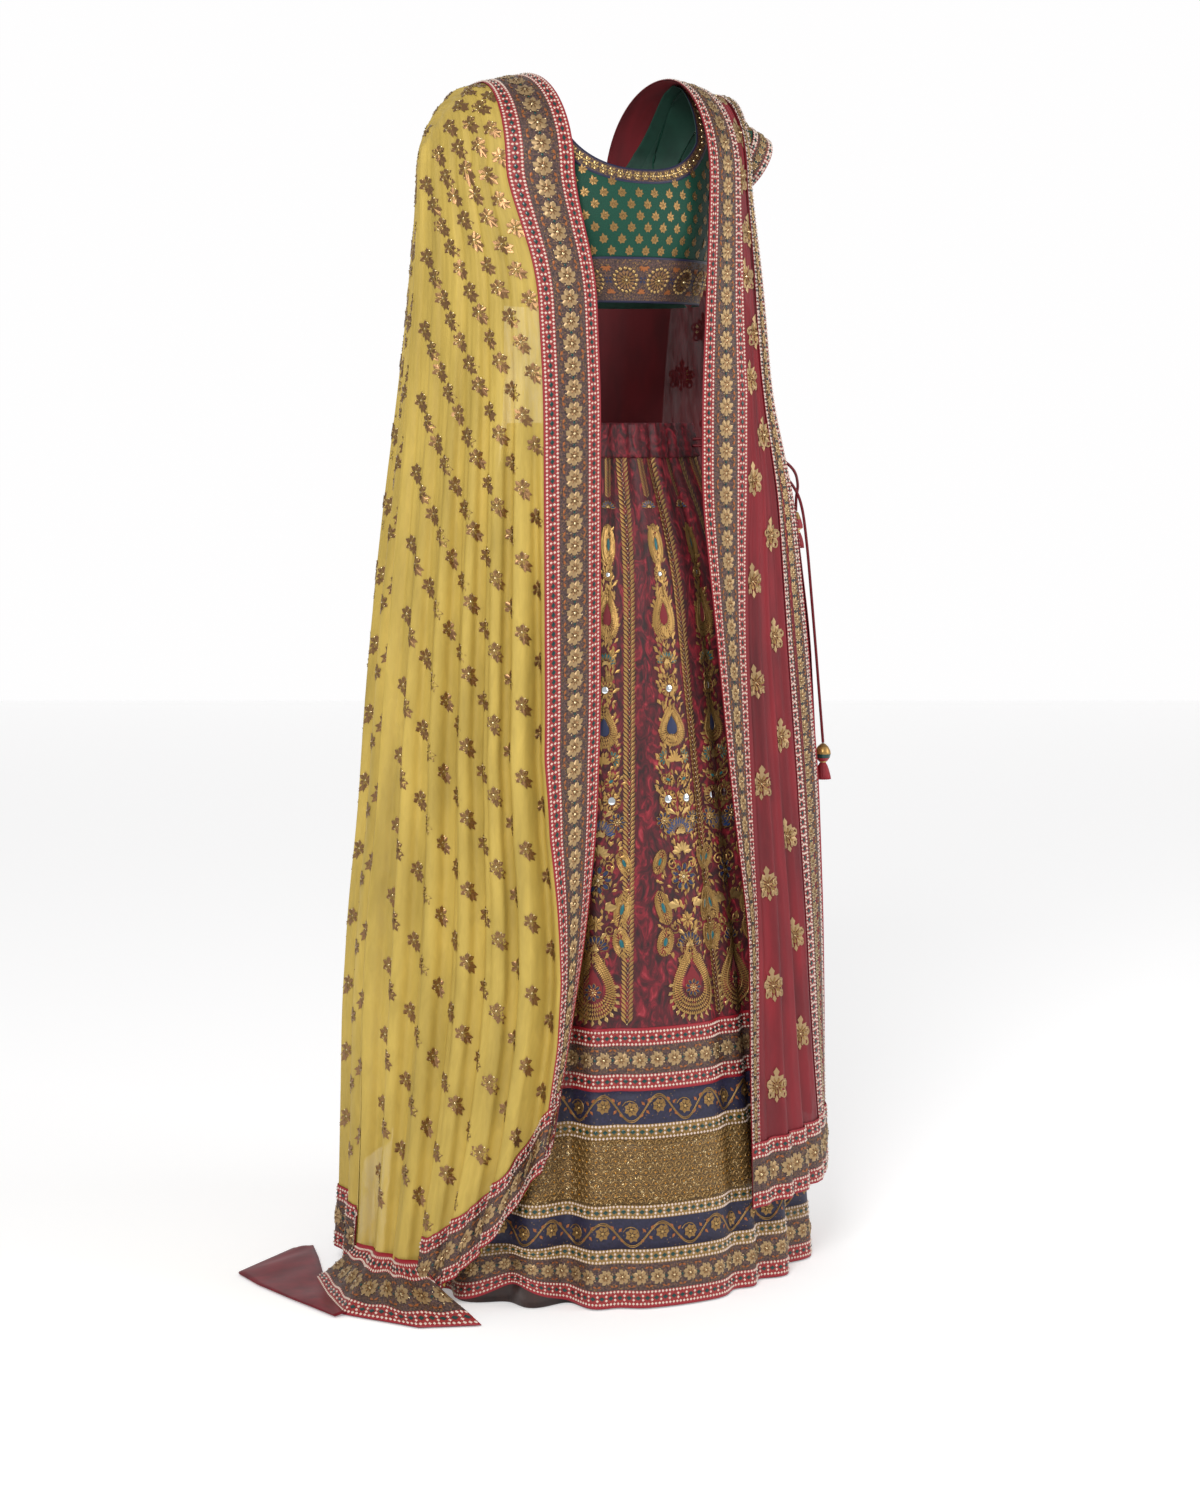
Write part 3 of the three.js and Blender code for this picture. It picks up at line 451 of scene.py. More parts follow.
# Cloth grids
class Cloth:
    """Grid of points on a cloth, rows downwards, with unit normals that point away from the wearer."""

    def __init__(self, points, closed=False, lies_flat=False):
        self.points = np.asarray(points, float)
        self.closed = closed
        down = np.gradient(self.points, axis=0)
        if closed:
            across = (np.roll(self.points, -1, 1) - np.roll(self.points, 1, 1)) / 2
        else:
            across = np.gradient(self.points, axis=1)
        normals = np.cross(across, down)
        normals /= np.maximum(np.linalg.norm(normals, axis=-1, keepdims=True), 1e-9)
        centre = self.points.mean(axis=1, keepdims=True) if closed else np.zeros((1, 1, 3))
        radial = (self.points - centre)[..., :2]
        outward = normals[..., 2].sum() if lies_flat else (normals[..., :2] * radial).sum()
        self.side = 1 if outward > 0 else -1
        self.normals = normals * self.side

    def moved(self, distance):
        """The same cloth moved out along its normals, by one distance or one for each point."""
        distance = np.asarray(distance, float)
        if distance.ndim:
            distance = distance[..., None]
        return Cloth(self.points + self.normals * distance, self.closed)

    def at(self, row, column, values=None):
        """The points, or other values of the grid, at fractional row and column numbers."""
        values = self.points if values is None else values
        rows, columns = self.points.shape[:2]
        row = np.clip(row, 0, rows - 1.0001)
        column = column % columns if self.closed else np.clip(column, 0, columns - 1.0001)
        top = np.floor(row).astype(int)
        left = np.floor(column).astype(int)
        right = (left + 1) % columns
        down = (row - top)[..., None]
        over = (column - left)[..., None]
        upper = lerp(values[top, left], values[top, right], over)
        lower = lerp(values[top + 1, left], values[top + 1, right], over)
        return lerp(upper, lower, down)

    def beside(self, row, column, x, y):
        """Row and column numbers x millimetres across and y down from a place."""
        step = 0.5
        down = self.at(row + step, column) - self.at(row - step, column)
        across = self.at(row, column + step) - self.at(row, column - step)
        down_length = np.linalg.norm(down, axis=-1)
        unit = down / np.maximum(down_length, 1e-6)[..., None]
        slant = (across * unit).sum(-1)
        square = np.linalg.norm(across - unit * slant[..., None], axis=-1)
        columns = x / np.maximum(square, 0.05)[..., None]
        rows = (y - columns * slant[..., None]) / np.maximum(down_length, 0.05)[..., None]
        return row[..., None] + rows, column[..., None] + columns

    def flat_map(self):
        """Distances across and down in metres, for the cloth's textures."""
        across = np.linalg.norm(np.diff(self.points, axis=1), axis=-1).mean(0)
        down = np.linalg.norm(np.diff(self.points, axis=0), axis=-1).mean(1)
        u = np.concatenate([[0], np.cumsum(across)]) * METRES
        v = np.concatenate([[0], np.cumsum(down)]) * METRES
        return np.stack(np.broadcast_arrays(u[None, :], v[:, None]), -1)


class Band:
    """A long strip of cloth, measured in millimetres along it and across it."""

    def __init__(self, cloth, lines, runs_down):
        self.cloth = cloth
        self.lines = lines
        self.runs_down = runs_down
        points = cloth.points
        if runs_down:
            middle = points[:, points.shape[1] // 2]
        else:
            middle = points[points.shape[0] // 2]
            if cloth.closed:
                middle = np.vstack([middle, middle[:1]])
        lengths = np.linalg.norm(np.diff(middle, axis=0), axis=-1)
        self.reach = np.concatenate([[0], np.cumsum(lengths)])
        self.length = self.reach[-1]

    def at(self, along, across, height):
        if self.cloth.closed:
            along = along % self.length
        place = np.interp(along, self.reach, np.arange(len(self.reach)))
        line = np.interp(across, self.lines, np.arange(len(self.lines)))
        row, column = (place, line) if self.runs_down else (line, place)
        normals = self.cloth.at(row, column, self.cloth.normals)
        return self.cloth.at(row, column) + normals * height[..., None]


def quads(rows, columns, closed, flipped):
    """Faces of a grid of points."""
    last = columns if closed else columns - 1
    row, column = np.meshgrid(np.arange(rows - 1), np.arange(last), indexing="ij")
    right = (column + 1) % columns
    corners = [row * columns + column, (row + 1) * columns + column,
               (row + 1) * columns + right, row * columns + right]
    faces = np.stack(corners, -1).reshape(-1, 4)
    return faces[:, ::-1] if flipped else faces


def make_object(name, vertices, faces, materials, face_materials=None, flat_map=None):
    mesh = bpy.data.meshes.new(name)
    mesh.from_pydata(to_row(vertices).tolist(), [], faces.tolist() if hasattr(faces, "tolist") else faces)
    for material in materials:
        mesh.materials.append(material)
    mesh.polygons.foreach_set("use_smooth", np.ones(len(mesh.polygons), bool))
    if face_materials is not None:
        mesh.polygons.foreach_set("material_index", np.asarray(face_materials, np.int32))
    if flat_map is not None:
        corner = np.zeros(len(mesh.loops), np.int32)
        mesh.loops.foreach_get("vertex_index", corner)
        layer = mesh.uv_layers.new(name="cloth")
        layer.data.foreach_set("uv", flat_map[corner].astype(np.float32).ravel())
    mesh.update()
    made = add_object(name, mesh)
    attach(made, "root")
    return made


def sheet_object(name, cloth, material):
    """One layer of cloth."""
    rows, columns = cloth.points.shape[:2]
    faces = quads(rows, columns, cloth.closed, cloth.side > 0)
    return make_object(name, cloth.points.reshape(-1, 3), faces, [material],
                       flat_map=cloth.flat_map().reshape(-1, 2))


def wall_object(name, cloth, thickness, outside, inside, column_kinds=None, row_kinds=None):
    """Cloth with a thickness. Its outer face may change material from column to column or row to row."""
    rows, columns = cloth.points.shape[:2]
    inner = cloth.points - cloth.normals * thickness
    vertices = np.vstack([cloth.points.reshape(-1, 3), inner.reshape(-1, 3)])
    outer_faces = quads(rows, columns, cloth.closed, cloth.side > 0)
    count = rows * columns
    inner_faces = outer_faces[:, ::-1] + count
    index = np.arange(count).reshape(rows, columns)
    rims = []
    edges = [(index[0], False), (index[-1], True)]
    if not cloth.closed:
        edges += [(index[:, 0], True), (index[:, -1], False)]
    for edge, turned in edges:
        ring = np.append(edge, edge[0]) if cloth.closed else edge
        a, b = ring[:-1], ring[1:]
        rim = np.stack([a, b, b + count, a + count], -1)
        if turned != (cloth.side > 0):
            rim = rim[:, ::-1]
        rims.append(rim)
    rims = np.vstack(rims)
    face_columns = columns if cloth.closed else columns - 1
    if column_kinds is not None:
        outer_kinds = np.tile(column_kinds, rows - 1)
    elif row_kinds is not None:
        outer_kinds = np.repeat(row_kinds, face_columns)
    else:
        outer_kinds = np.zeros(len(outer_faces), int)
    face_materials = np.concatenate([outer_kinds, np.full(len(inner_faces) + len(rims), len(outside))])
    flat = cloth.flat_map().reshape(-1, 2)
    return make_object(name, vertices, np.vstack([outer_faces, inner_faces, rims]), [*outside, inside],
                       face_materials, np.vstack([flat, flat]))


def finished(made, slot, *nodes):
    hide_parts(*nodes)
    return made


def cloth_piece(name, cloth, thickness, outside, inside, slot, node):
    """A wall of cloth with one material outside and one inside, in the place of a CAD solid."""
    return finished(wall_object(name, cloth, thickness, [MATERIALS[outside]], MATERIALS[inside]), slot, node)


# Skirt surface
def skirt_points(degrees, height, inset):
    """Points of the skirt, with the CAD part's deep folds and small gathers under the waistband."""
    angle = np.radians(degrees)
    side = table_value(SKIRT, 1, height, SKIRT_BLUR)
    front = table_value(SKIRT, 2, height, SKIRT_BLUR)
    radius = side * front / np.hypot(front * np.sin(angle), side * np.cos(angle)) - inset
    fallen = np.clip(1 - height / WAIST_BOTTOM, 0, 1)
    for at, depth, width in SKIRT_FOLDS:
        reach = ((degrees - at + 180) % 360 - 180) / width
        radius = radius - depth * fallen**0.8 * np.exp(-reach * reach)
    radius = radius + gathers(degrees, height)
    return np.stack(np.broadcast_arrays(radius * np.sin(angle), -radius * np.cos(angle), height), -1)


def gathers(degrees, height):
    """Pleats pressed into the waistband, which open out below it."""
    under_waist = smooth_step(height, 640, 980)
    drift = (WAIST_BOTTOM - height) * 0.004
    pleat = np.sin(np.radians(degrees * 22 + 40 * drift))
    small = np.sin(np.radians(degrees * 41 + 90 + 30 * drift))
    return under_waist * (1.9 * pleat + 0.9 * small)


def hem_height(degrees):
    reach = ((degrees - HEM_LIFT["at"] + 180) % 360 - 180) / HEM_LIFT["width"]
    return HEM_LIFT["height"] * np.exp(-reach * reach)


# Choli surface
def shoulder_height(x):
    return SHOULDER_TOP - SHOULDER_SLOPE * np.maximum(0, np.abs(x) - SHOULDER_FLAT)


def on_bodice(x, height, face):
    side = table_value(TORSO, 1, height, TORSO_BLUR)
    depth = table_value(TORSO, 2 if face == "front" else 3, height, TORSO_BLUR)
    inside = np.maximum(0, 1 - (x / side) ** 2)
    under_ridge = np.clip((shoulder_height(x) - height) / SHOULDER_ROUNDING, 0, 1)
    y = depth * np.sqrt(inside) * np.sqrt(under_ridge) + SEAM_GAP
    return np.stack([x, -y if face == "front" else y, height], -1)


def bodice_top(s, face, inset):
    """Top outline of a bodice panel: neckline, shoulder seam and armhole."""
    share = np.abs(s)
    neck_x = NECK_HALF_WIDTH + inset
    top = shoulder_height(neck_x)
    turn = np.radians(90) * np.clip(share / NECK_SHARE, 0, 1)
    neckline_x = neck_x * np.sin(turn) ** 0.85
    neckline_z = top - (top - NECK_LOW[face] + inset) * np.clip(np.cos(turn), 0, 1) ** 0.75
    seam_x = lerp(neck_x, SHOULDER_TIP, (share - NECK_SHARE) / (TIP_SHARE - NECK_SHARE))
    t = np.clip((share - TIP_SHARE) / (1 - TIP_SHARE), 0, 1)
    arm_x = lerp(SHOULDER_TIP, ARMPIT_X, t) - ARMHOLE_INSET * np.sin(np.pi * t) * (1 - 0.3 * t)
    arm_z = lerp(shoulder_height(SHOULDER_TIP), ARMPIT_HEIGHT, np.sin(np.radians(90) * t) ** 0.9)
    x = np.where(share <= NECK_SHARE, neckline_x, np.where(share <= TIP_SHARE, seam_x, arm_x))
    seam_z = shoulder_height(seam_x)
    z = np.where(share <= NECK_SHARE, neckline_z, np.where(share <= TIP_SHARE, seam_z, arm_z))
    return np.sign(s) * x, z


def bodice_points(s, v, face):
    top_x, top_z = bodice_top(s, face, NECK_BAND_WIDTH - 3)
    hem_x = table_value(TORSO, 1, CHOLI_HEM_HEIGHT) * np.sin(s * np.radians(90))
    share = np.abs(s)
    fast = 1 - (1 - v) ** lerp(1, 2, np.minimum(1, share / NECK_SHARE))
    past = np.clip((share - NECK_SHARE) / (TIP_SHARE - NECK_SHARE), 0, 1)
    x = lerp(hem_x, top_x, lerp(fast, v**2.2, past**0.62))
    return on_bodice(x, lerp(CHOLI_HEM_HEIGHT, top_z, v), face)


# Dupatta surfaces
def fall_points(drape, s, height, sign):
    """Points of a dupatta below the shoulder. s runs from the border's free edge, 0, to the side, 1."""
    levels = drape["levels"]
    edge, edge_r, mid, mid_r, side, side_r = (
        table_value(levels, column, height, FALL_BLUR) for column in range(1, 7))
    turn = np.sign(side - edge)
    border = np.interp(height, *np.array(drape["border"], float).T)
    seam = edge + turn * np.minimum(np.degrees(border / edge_r), np.abs(side - edge) * 0.6)
    in_border = lerp(edge, seam, s / EDGE_SHARE)
    in_field = lerp(seam, side, (s - EDGE_SHARE) / (1 - EDGE_SHARE))
    angle = np.where(s <= EDGE_SHARE, in_border, in_field)
    before = turn * (mid - angle) > 0
    near = lerp(edge_r, mid_r, (angle - edge) / (mid - edge))
    far = lerp(mid_r, side_r, (angle - mid) / (side - mid))
    radius = np.where(before, near, far)
    for at, depth, width, start in drape["folds"]:
        grown = smooth_step(start - height, 0, FOLD_GROWTH)
        reach = (s - at) / width
        radius = radius + depth * grown * (0.35 - np.exp(-reach**2)) * np.exp(-(((s - at) / 0.12) ** 2))
    angle = np.radians(angle)
    return np.stack([sign * radius * np.sin(angle), -radius * np.cos(angle), height + 0 * radius], -1)


def ridge_points(drape, s, sign):
    edge, border, tip = drape["ridge"]
    x = np.where(s <= EDGE_SHARE, lerp(edge, border, s / EDGE_SHARE),
                 lerp(border, tip, (s - EDGE_SHARE) / (1 - EDGE_SHARE)))
    level_x = SHOULDER_TIP + 12
    past = np.maximum(0, (x - level_x) / (tip - level_x)) if tip > level_x else 0
    z = shoulder_height(np.minimum(x, level_x)) + RIDGE_RISE - drape["drop"] * past**1.3
    return np.stack([sign * x, 0 * x, z], -1)


ARC_ROWS = 20
FALL_ROWS = 104
END_COLUMNS = 170


def drape_grid(drape, sign, stations):
    """Points of a dupatta's stretch from the shoulder's ridge down, rows by columns."""
    s = np.asarray(stations, float)[None, :]
    low = fall_points(drape, s, FALL_START + 0 * s, sign)
    ridge = ridge_points(drape, s, sign)
    turn = np.linspace(0, np.pi / 2, ARC_ROWS)[:, None, None]
    arc = ridge + (low - ridge) * np.sin(turn)
    arc[..., 2:] = low[..., 2:] + (ridge - low)[..., 2:] * np.cos(turn)
    share = np.linspace(0, 1, FALL_ROWS)[1:, None]
    height = lerp(FALL_START, bottom_height(drape, s), share)
    fall = fall_points(drape, s + 0 * height, height, sign)
    return np.concatenate([arc, fall])


def bottom_height(drape, s):
    stations, heights = np.array(drape["bottom"], float).T
    return np.interp(s, stations, heights)


def small_pleats(s, rows, seed, depth):
    """Height of the small pleats that run down from the shoulder, calm in the stiff border."""
    fall = np.linspace(0, 1, rows)[:, None]
    s = np.asarray(s, float)[None, :]
    wave = 0
    for number, (count, share) in enumerate(((8, 1.0), (15, 0.5), (31, 0.2))):
        phase = seed * 1.7 + number * 2.1
        drift = 1.6 * np.sin(2.3 * fall + phase) + 0.7 * np.sin(5.1 * fall + 2 * phase)
        wave = wave + share * np.sin(2 * np.pi * count * s + phase + drift)
    growth = 0.2 + 0.8 * smooth_step(fall, 0.1, 0.65)
    loose = 0.12 + 0.88 * smooth_step(s, 0.2, 0.42)
    return depth * wave * growth * loose


class Dupatta:
    """One stretch of a dupatta, in front or behind, as a grid over all its stations."""

    def __init__(self, drape, sign, seed, depth, columns):
        self.drape = drape
        self.sign = sign
        self.stations = np.linspace(0, 1, columns)
        base = Cloth(drape_grid(drape, sign, self.stations))
        self.cloth = base.moved(small_pleats(self.stations, len(base.points), seed, depth))

    def place(self, s, height):
        """Row and column numbers of a station and a height below the shoulder."""
        share = (FALL_START - height) / (FALL_START - bottom_height(self.drape, s))
        return ARC_ROWS - 1 + share * (FALL_ROWS - 1), s * (len(self.stations) - 1)

    def strip(self, stations, lift):
        """The cloth at the stations, from the ridge to the end border, lifted off the chiffon."""
        last, column = self.place(stations, bottom_height(self.drape, stations) + BORDER_WIDTH)
        row = np.linspace(0, 1, ARC_ROWS + FALL_ROWS)[:, None] * last[None, :]
        return self.lifted(row, column[None, :] + 0 * row, lift)

    def end_strip(self, lines, lift, last):
        """The cloth above the bottom edge, at lines measured down from the border's upper edge."""
        s = np.linspace(0, last, END_COLUMNS)[None, :]
        height = bottom_height(self.drape, s) + BORDER_WIDTH - lines[:, None]
        row, column = self.place(s + 0 * height, height)
        return self.lifted(row, column, lift)

    def lifted(self, row, column, lift):
        points = self.cloth.at(row, column)
        normals = self.cloth.at(row, column, self.cloth.normals)
        return Cloth(points + normals * lift)


# Needlework templates: points in millimetres, x along or across, y down, z out of the cloth, and triangles
def dome(radius, height, sides=5):
    angle = np.arange(sides) * 2 * np.pi / sides
    ring = np.stack([np.cos(angle), np.sin(angle), 0 * angle], -1)
    points = np.vstack([ring * radius, ring * radius * 0.75 + (0, 0, height * 0.7), [(0, 0, height)]])
    faces = []
    for i in range(sides):
        j = (i + 1) % sides
        faces += [(i, j, sides + j), (i, sides + j, sides + i), (sides + i, sides + j, 2 * sides)]
    return points, np.array(faces)


def spike(radius, height, sides=4):
    """Low pyramid: a cut bead, stone or sequin."""
    angle = np.arange(sides) * 2 * np.pi / sides
    ring = np.stack([radius * np.cos(angle), radius * np.sin(angle), 0 * angle], -1)
    faces = [(i, (i + 1) % sides, sides) for i in range(sides)]
    return np.vstack([ring, [(0, 0, height)]]), np.array(faces)


def petal(length, width, height, start=0.0):
    """Leaf or stitch with its ridge raised."""
    widest = start + 0.6 * length
    points = [(start, 0, 0.7 * height), (widest, width / 2, 0), (start + length, 0, 0.8 * height),
              (widest, -width / 2, 0)]
    return np.array(points, float), np.array([(0, 1, 2), (0, 2, 3)])


def lobe(length, width, height, start=0.0):
    """Round-ended petal."""
    near = start + 0.45 * length
    far = start + 0.86 * length
    points = [(start, 0, height), (near, width * 0.46, 0), (far, width * 0.36, 0),
              (start + length, 0, 0.5 * height), (far, -width * 0.36, 0), (near, -width * 0.46, 0)]
    return np.array(points, float), np.array([(0, i, i + 1) for i in range(1, 5)])


def stroke(path, width, height):
    """Raised thread along a path."""
    path = np.asarray(path, float)
    ahead = np.gradient(path, axis=0)
    ahead /= np.maximum(np.linalg.norm(ahead, axis=1, keepdims=True), 1e-9)
    aside = np.stack([-ahead[:, 1], ahead[:, 0]], -1) * width / 2
    count = len(path)
    zero = np.zeros((count, 1))
    rows = [np.hstack([path + aside, zero]), np.hstack([path, zero + height]),
            np.hstack([path - aside, zero])]
    faces = []
    for i in range(count - 1):
        for side in (0, count):
            a, b = side + i, side + count + i
            faces += [(a, a + 1, b), (a + 1, b + 1, b)]
    return np.vstack(rows), np.array(faces)


def filled(path, height, rise=0.6):
    """A patch inside a closed path, highest in its middle."""
    path = np.asarray(path, float)
    centre = path.mean(0)
    inner = centre + (path - centre) * 0.7
    count = len(path)
    points = np.vstack([
        np.hstack([path, np.full((count, 1), height * rise)]),
        np.hstack([inner, np.full((count, 1), height)]),
        [[*centre, height]],
    ])
    faces = []
    for i in range(count):
        j = (i + 1) % count
        faces += [(i, j, count + j), (i, count + j, count + i), (count + i, count + j, 2 * count)]
    return points, np.array(faces)


def joined(*parts):
    points = []
    faces = []
    offset = 0
    for part_points, part_faces in parts:
        points.append(part_points)
        faces.append(part_faces + offset)
        offset += len(part_points)
    return np.vstack(points), np.vstack(faces)


def turned(part, degrees):
    points, faces = part
    angle = math.radians(degrees)
    x = points[:, 0] * math.cos(angle) - points[:, 1] * math.sin(angle)
    y = points[:, 0] * math.sin(angle) + points[:, 1] * math.cos(angle)
    return np.stack([x, y, points[:, 2]], -1), faces


def moved(part, x, y):
    points, faces = part
    return points + (x, y, 0), faces


def wreath(part, count, start=0.0, spread=360.0):
    """Copies of a part turned about the middle."""
    last = spread if spread == 360 else spread * count / (count - 1)
    return joined(*(turned(part, start + i * last / count) for i in range(count)))


def bead_ring(bead, radius, count, shift=0.0):
    """Copies of a bead in a ring, none of them turned."""
    angles = (np.arange(count) + shift) * math.tau / count
    return joined(*(moved(bead, radius * math.cos(angle), radius * math.sin(angle)) for angle in angles))


def ellipse(width, height, count):
    angle = np.arange(count) * 2 * np.pi / count
    return np.stack([width / 2 * np.sin(angle), -height / 2 * np.cos(angle)], -1)


def teardrop(width, height, count):
    """Closed path with its point at the top."""
    angle = np.arange(count) * 2 * np.pi / count
    x = width / 2 * np.sin(angle) * np.abs(np.sin(angle / 2)) ** 1.3 * 1.25
    return np.stack([x, -height / 2 * np.cos(angle)], -1)


def spiral(radius, turns, start, count=14, hand=1):
    t = np.linspace(0, 1, count)
    angle = math.radians(start) + hand * turns * 2 * np.pi * t
    return np.stack([radius * (1 - 0.8 * t) * np.cos(angle), radius * (1 - 0.8 * t) * np.sin(angle)], -1)


def closed_path(path):
    return np.vstack([path, path[:1]])


def radial_stitches(path, length, width, height, spacing):
    """Short raised stitches that stand out all round a closed path."""
    ring = closed_path(path)
    lengths = np.concatenate([[0], np.cumsum(np.linalg.norm(np.diff(ring, axis=0), axis=1))])
    count = max(6, int(lengths[-1] / spacing))
    at = np.arange(count) * lengths[-1] / count
    places = np.stack([np.interp(at, lengths, ring[:, k]) for k in (0, 1)], -1)
    ahead = np.roll(places, -1, 0) - np.roll(places, 1, 0)
    outward = np.degrees(np.arctan2(ahead[:, 1], ahead[:, 0])) - 90
    stitch = petal(length, width, height)
    return joined(*(moved(turned(stitch, a), x, y) for a, (x, y) in zip(outward, places)))


def spots(first, second, degrees=0.0, scale=1.0):
    """Places of copies: along and across a band or row and column of a cloth, then turn and scale."""
    lined_up = np.broadcast_arrays(first, second, degrees, scale)
    return np.stack([np.ravel(values) for values in lined_up], -1).astype(float)


class Needlework:
    """Threads, beads, pearls and sequins of one piece, joined into one mesh."""

    def __init__(self):
        self.parts = {}

    def add(self, kind, points, faces):
        copies, count = points.shape[:2]
        stepped = faces[None] + np.arange(copies)[:, None, None] * count
        self.parts.setdefault(kind, []).append((points.reshape(-1, 3), stepped.reshape(-1, 3)))

    def spread(self, part, places):
        """Each copy's points, turned and scaled: x and y from its place, and height."""
        x, y, height = part[0].T
        angle = np.radians(places[:, 2:3])
        scale = places[:, 3:4]
        along = scale * (x * np.cos(angle) - y * np.sin(angle))
        down = scale * (x * np.sin(angle) + y * np.cos(angle))
        return along, down, scale * height

    def on_band(self, band, kind, part, places, lift=0.0):
        x, y, height = self.spread(part, places)
        self.add(kind, band.at(places[:, :1] + x, places[:, 1:2] + y, height + lift), part[1])

    def on_cloth(self, cloth, kind, part, places, lift=0.0):
        x, y, height = self.spread(part, places)
        row, column = cloth.beside(places[:, 0], places[:, 1], x, y)
        normals = cloth.at(row, column, cloth.normals)
        self.add(kind, cloth.at(row, column) + normals * (height + lift)[..., None], part[1])

    def rows(self, band, pitch, *layers):
        """Rows along a band: a whole number of copies, about a pitch apart.

        Each layer is a kind, its part, its line across the band, lift, shift in pitches and turn.
        """
        count = max(1, round(band.length / pitch))
        step = band.length / count
        for kind, part, across, lift, shift, degrees in layers:
            along = (np.arange(count) + 0.5 + shift) * step
            self.on_band(band, kind, part, spots(along, across, degrees), lift)

    def build(self, name):
        points = []
        faces = []
        kinds = []
        offset = 0
        for number, layers in enumerate(self.parts.values()):
            for layer_points, layer_faces in layers:
                points.append(layer_points)
                faces.append(layer_faces + offset)
                kinds.append(np.full(len(layer_faces), number))
                offset += len(layer_points)
        made = make_object(name, np.vstack(points), np.vstack(faces),
                           [MATERIALS[kind] for kind in self.parts], np.concatenate(kinds))
        return made


# Shift that sets a row's parts between those of another row
BETWEEN = 0.5


def sew_pearls(needle, band, first, last):
    """Pearls along both edges, and in pairs between dark stones along the middle."""
    middle = (first + last) / 2
    inner = (last - first) * 0.135
    pearl = spike(1.8, 1.9)
    points, faces = spike(1, 1.3)
    stone = (points * (3.7, 2.7, 1), faces)
    needle.rows(
        band, 4.5,
        ("pearl", pearl, first + 1.9, 0, 0, 0),
        ("pearl", pearl, last - 1.9, 0, 0, 0))
    needle.rows(
        band, 11.0,
        ("stone", stone, middle, 0.3, 0, 0),
        ("pearl", pearl, middle - inner, 0, BETWEEN, 0),
        ("pearl", pearl, middle + inner, 0, BETWEEN, 0))


def sew_fill(needle, band, first, last, kinds, spacing, radius=0.95):
    """Scattered small beads that make the ground dense."""
    count = int(band.length * (last - first) / spacing**2)
    along = random.uniform(0, band.length, count)
    across = random.uniform(first + radius, last - radius, count)
    turns = random.uniform(0, 90, count)
    chosen = random.integers(0, len(kinds), count)
    for number, kind in enumerate(kinds):
        here = chosen == number
        needle.on_band(band, kind, spike(radius, 0.7, 3), spots(along[here], across[here], turns[here]))


def sew_flowers(needle, band, first, last):
    """Sequin flowers in a row, with stones between them and small leaves along both edges."""
    width = last - first
    middle = (first + last) / 2
    size = min(width * 0.28, 11.5)
    side = width / 2 - size * 0.42
    blossom = wreath(lobe(size * 0.74, size * 0.68, 1.7, size * 0.26), 7)
    inner = wreath(petal(size * 0.42, size * 0.3, 1.9, size * 0.1), 8, 22.5)
    small = petal(size * 0.6, size * 0.3, 1.0)
    leaves = joined(turned(small, 25), turned(small, 155))
    needle.rows(
        band, size * 2.35,
        ("gold_pale", blossom, middle, 0.4, 0, 0),
        ("copper", inner, middle, 0.8, 0, 0),
        ("pearl_gold", spike(size * 0.2, 2.6, 6), middle, 0.8, 0, 0),
        ("pearl_gold", bead_ring(spike(0.9, 1.3, 3), size, 8, 0.5), middle, 0.5, 0, 0),
        ("stone", spike(2.1, 1.2), middle, 0.4, BETWEEN, 0),
        ("amber", leaves, middle + side, 0.3, BETWEEN, 180),
        ("amber", leaves, middle - side, 0.3, BETWEEN, 0))
    sew_fill(needle, band, first, last, ("zari", "mauve", "copper", "mauve"), 3.3, 1.0)


def sew_vine(needle, band, first, last):
    """A gold scroll that winds along the band round a flower in each of its bends."""
    middle = (first + last) / 2
    reach = (last - first) / 2 - 4
    count = max(2, 4 * round(band.length / 140))
    step = band.length / count
    turn = np.linspace(0, 2 * np.pi, 24)
    wave = np.stack([turn / (2 * np.pi) * 2 * step, reach * np.cos(turn)], -1)
    starts = np.arange(count // 2) * 2 * step
    for offset in (0, 1.8):
        needle.on_band(band, "zari", stroke(wave, 1.2, 0.9), spots(starts, middle + offset), 0.2)
    up = np.where(np.arange(count) % 2, 1, -1)
    places = spots(np.arange(count) * step, middle - up * reach * 0.12)
    needle.on_band(band, "zari", wreath(petal(7.2, 5.6, 1.4, 1.6), 7), places, 0.3)
    needle.on_band(band, "gold", dome(2.2, 2.0), places, 0.6)
    needle.on_band(band, "zari", stroke(spiral(11.5, 1.05, 200), 1.2, 0.9), places, 0.2)
    leaf = petal(6.5, 3.6, 1.1)
    for degrees, x, y in ((50, 10, -reach * 0.75), (130, -10, -reach * 0.75),
                          (-50, 12, reach * 0.5), (230, -12, reach * 0.5)):
        spot = places.copy()
        spot[:, 0] += x
        spot[:, 1] = middle + up * y
        spot[:, 2] = degrees * up
        needle.on_band(band, "amber", leaf, spot, 0.2)
    sew_fill(needle, band, first, last, ("zari",), 9.0, 0.8)


def sew_lattice(needle, band, first, last):
    """Antique gold net of small scales, with amber beads and light flecks."""
    scale = joined(stroke(ellipse(11, 11, 8)[2:7], 1.3, 1.0), stroke(ellipse(6, 6, 6)[2:5], 1.2, 1.0))
    rows = max(2, round((last - first - 6) / 6.2))
    bead = spike(1.5, 1.5, 3)
    for row in range(rows):
        across = first + 6 + row * (last - first - 9) / (rows - 1)
        shift = BETWEEN * (row % 2)
        needle.rows(
            band, 12,
            ("zari", scale, across, 0.1, shift, 180),
            ("amber_bead" if row % 2 else "gold", bead, across - 1, 0.3, shift, 0))
    sew_fill(needle, band, first, last, ("zari", "gold", "zari", "pearl_gold"), 3.9, 1.15)


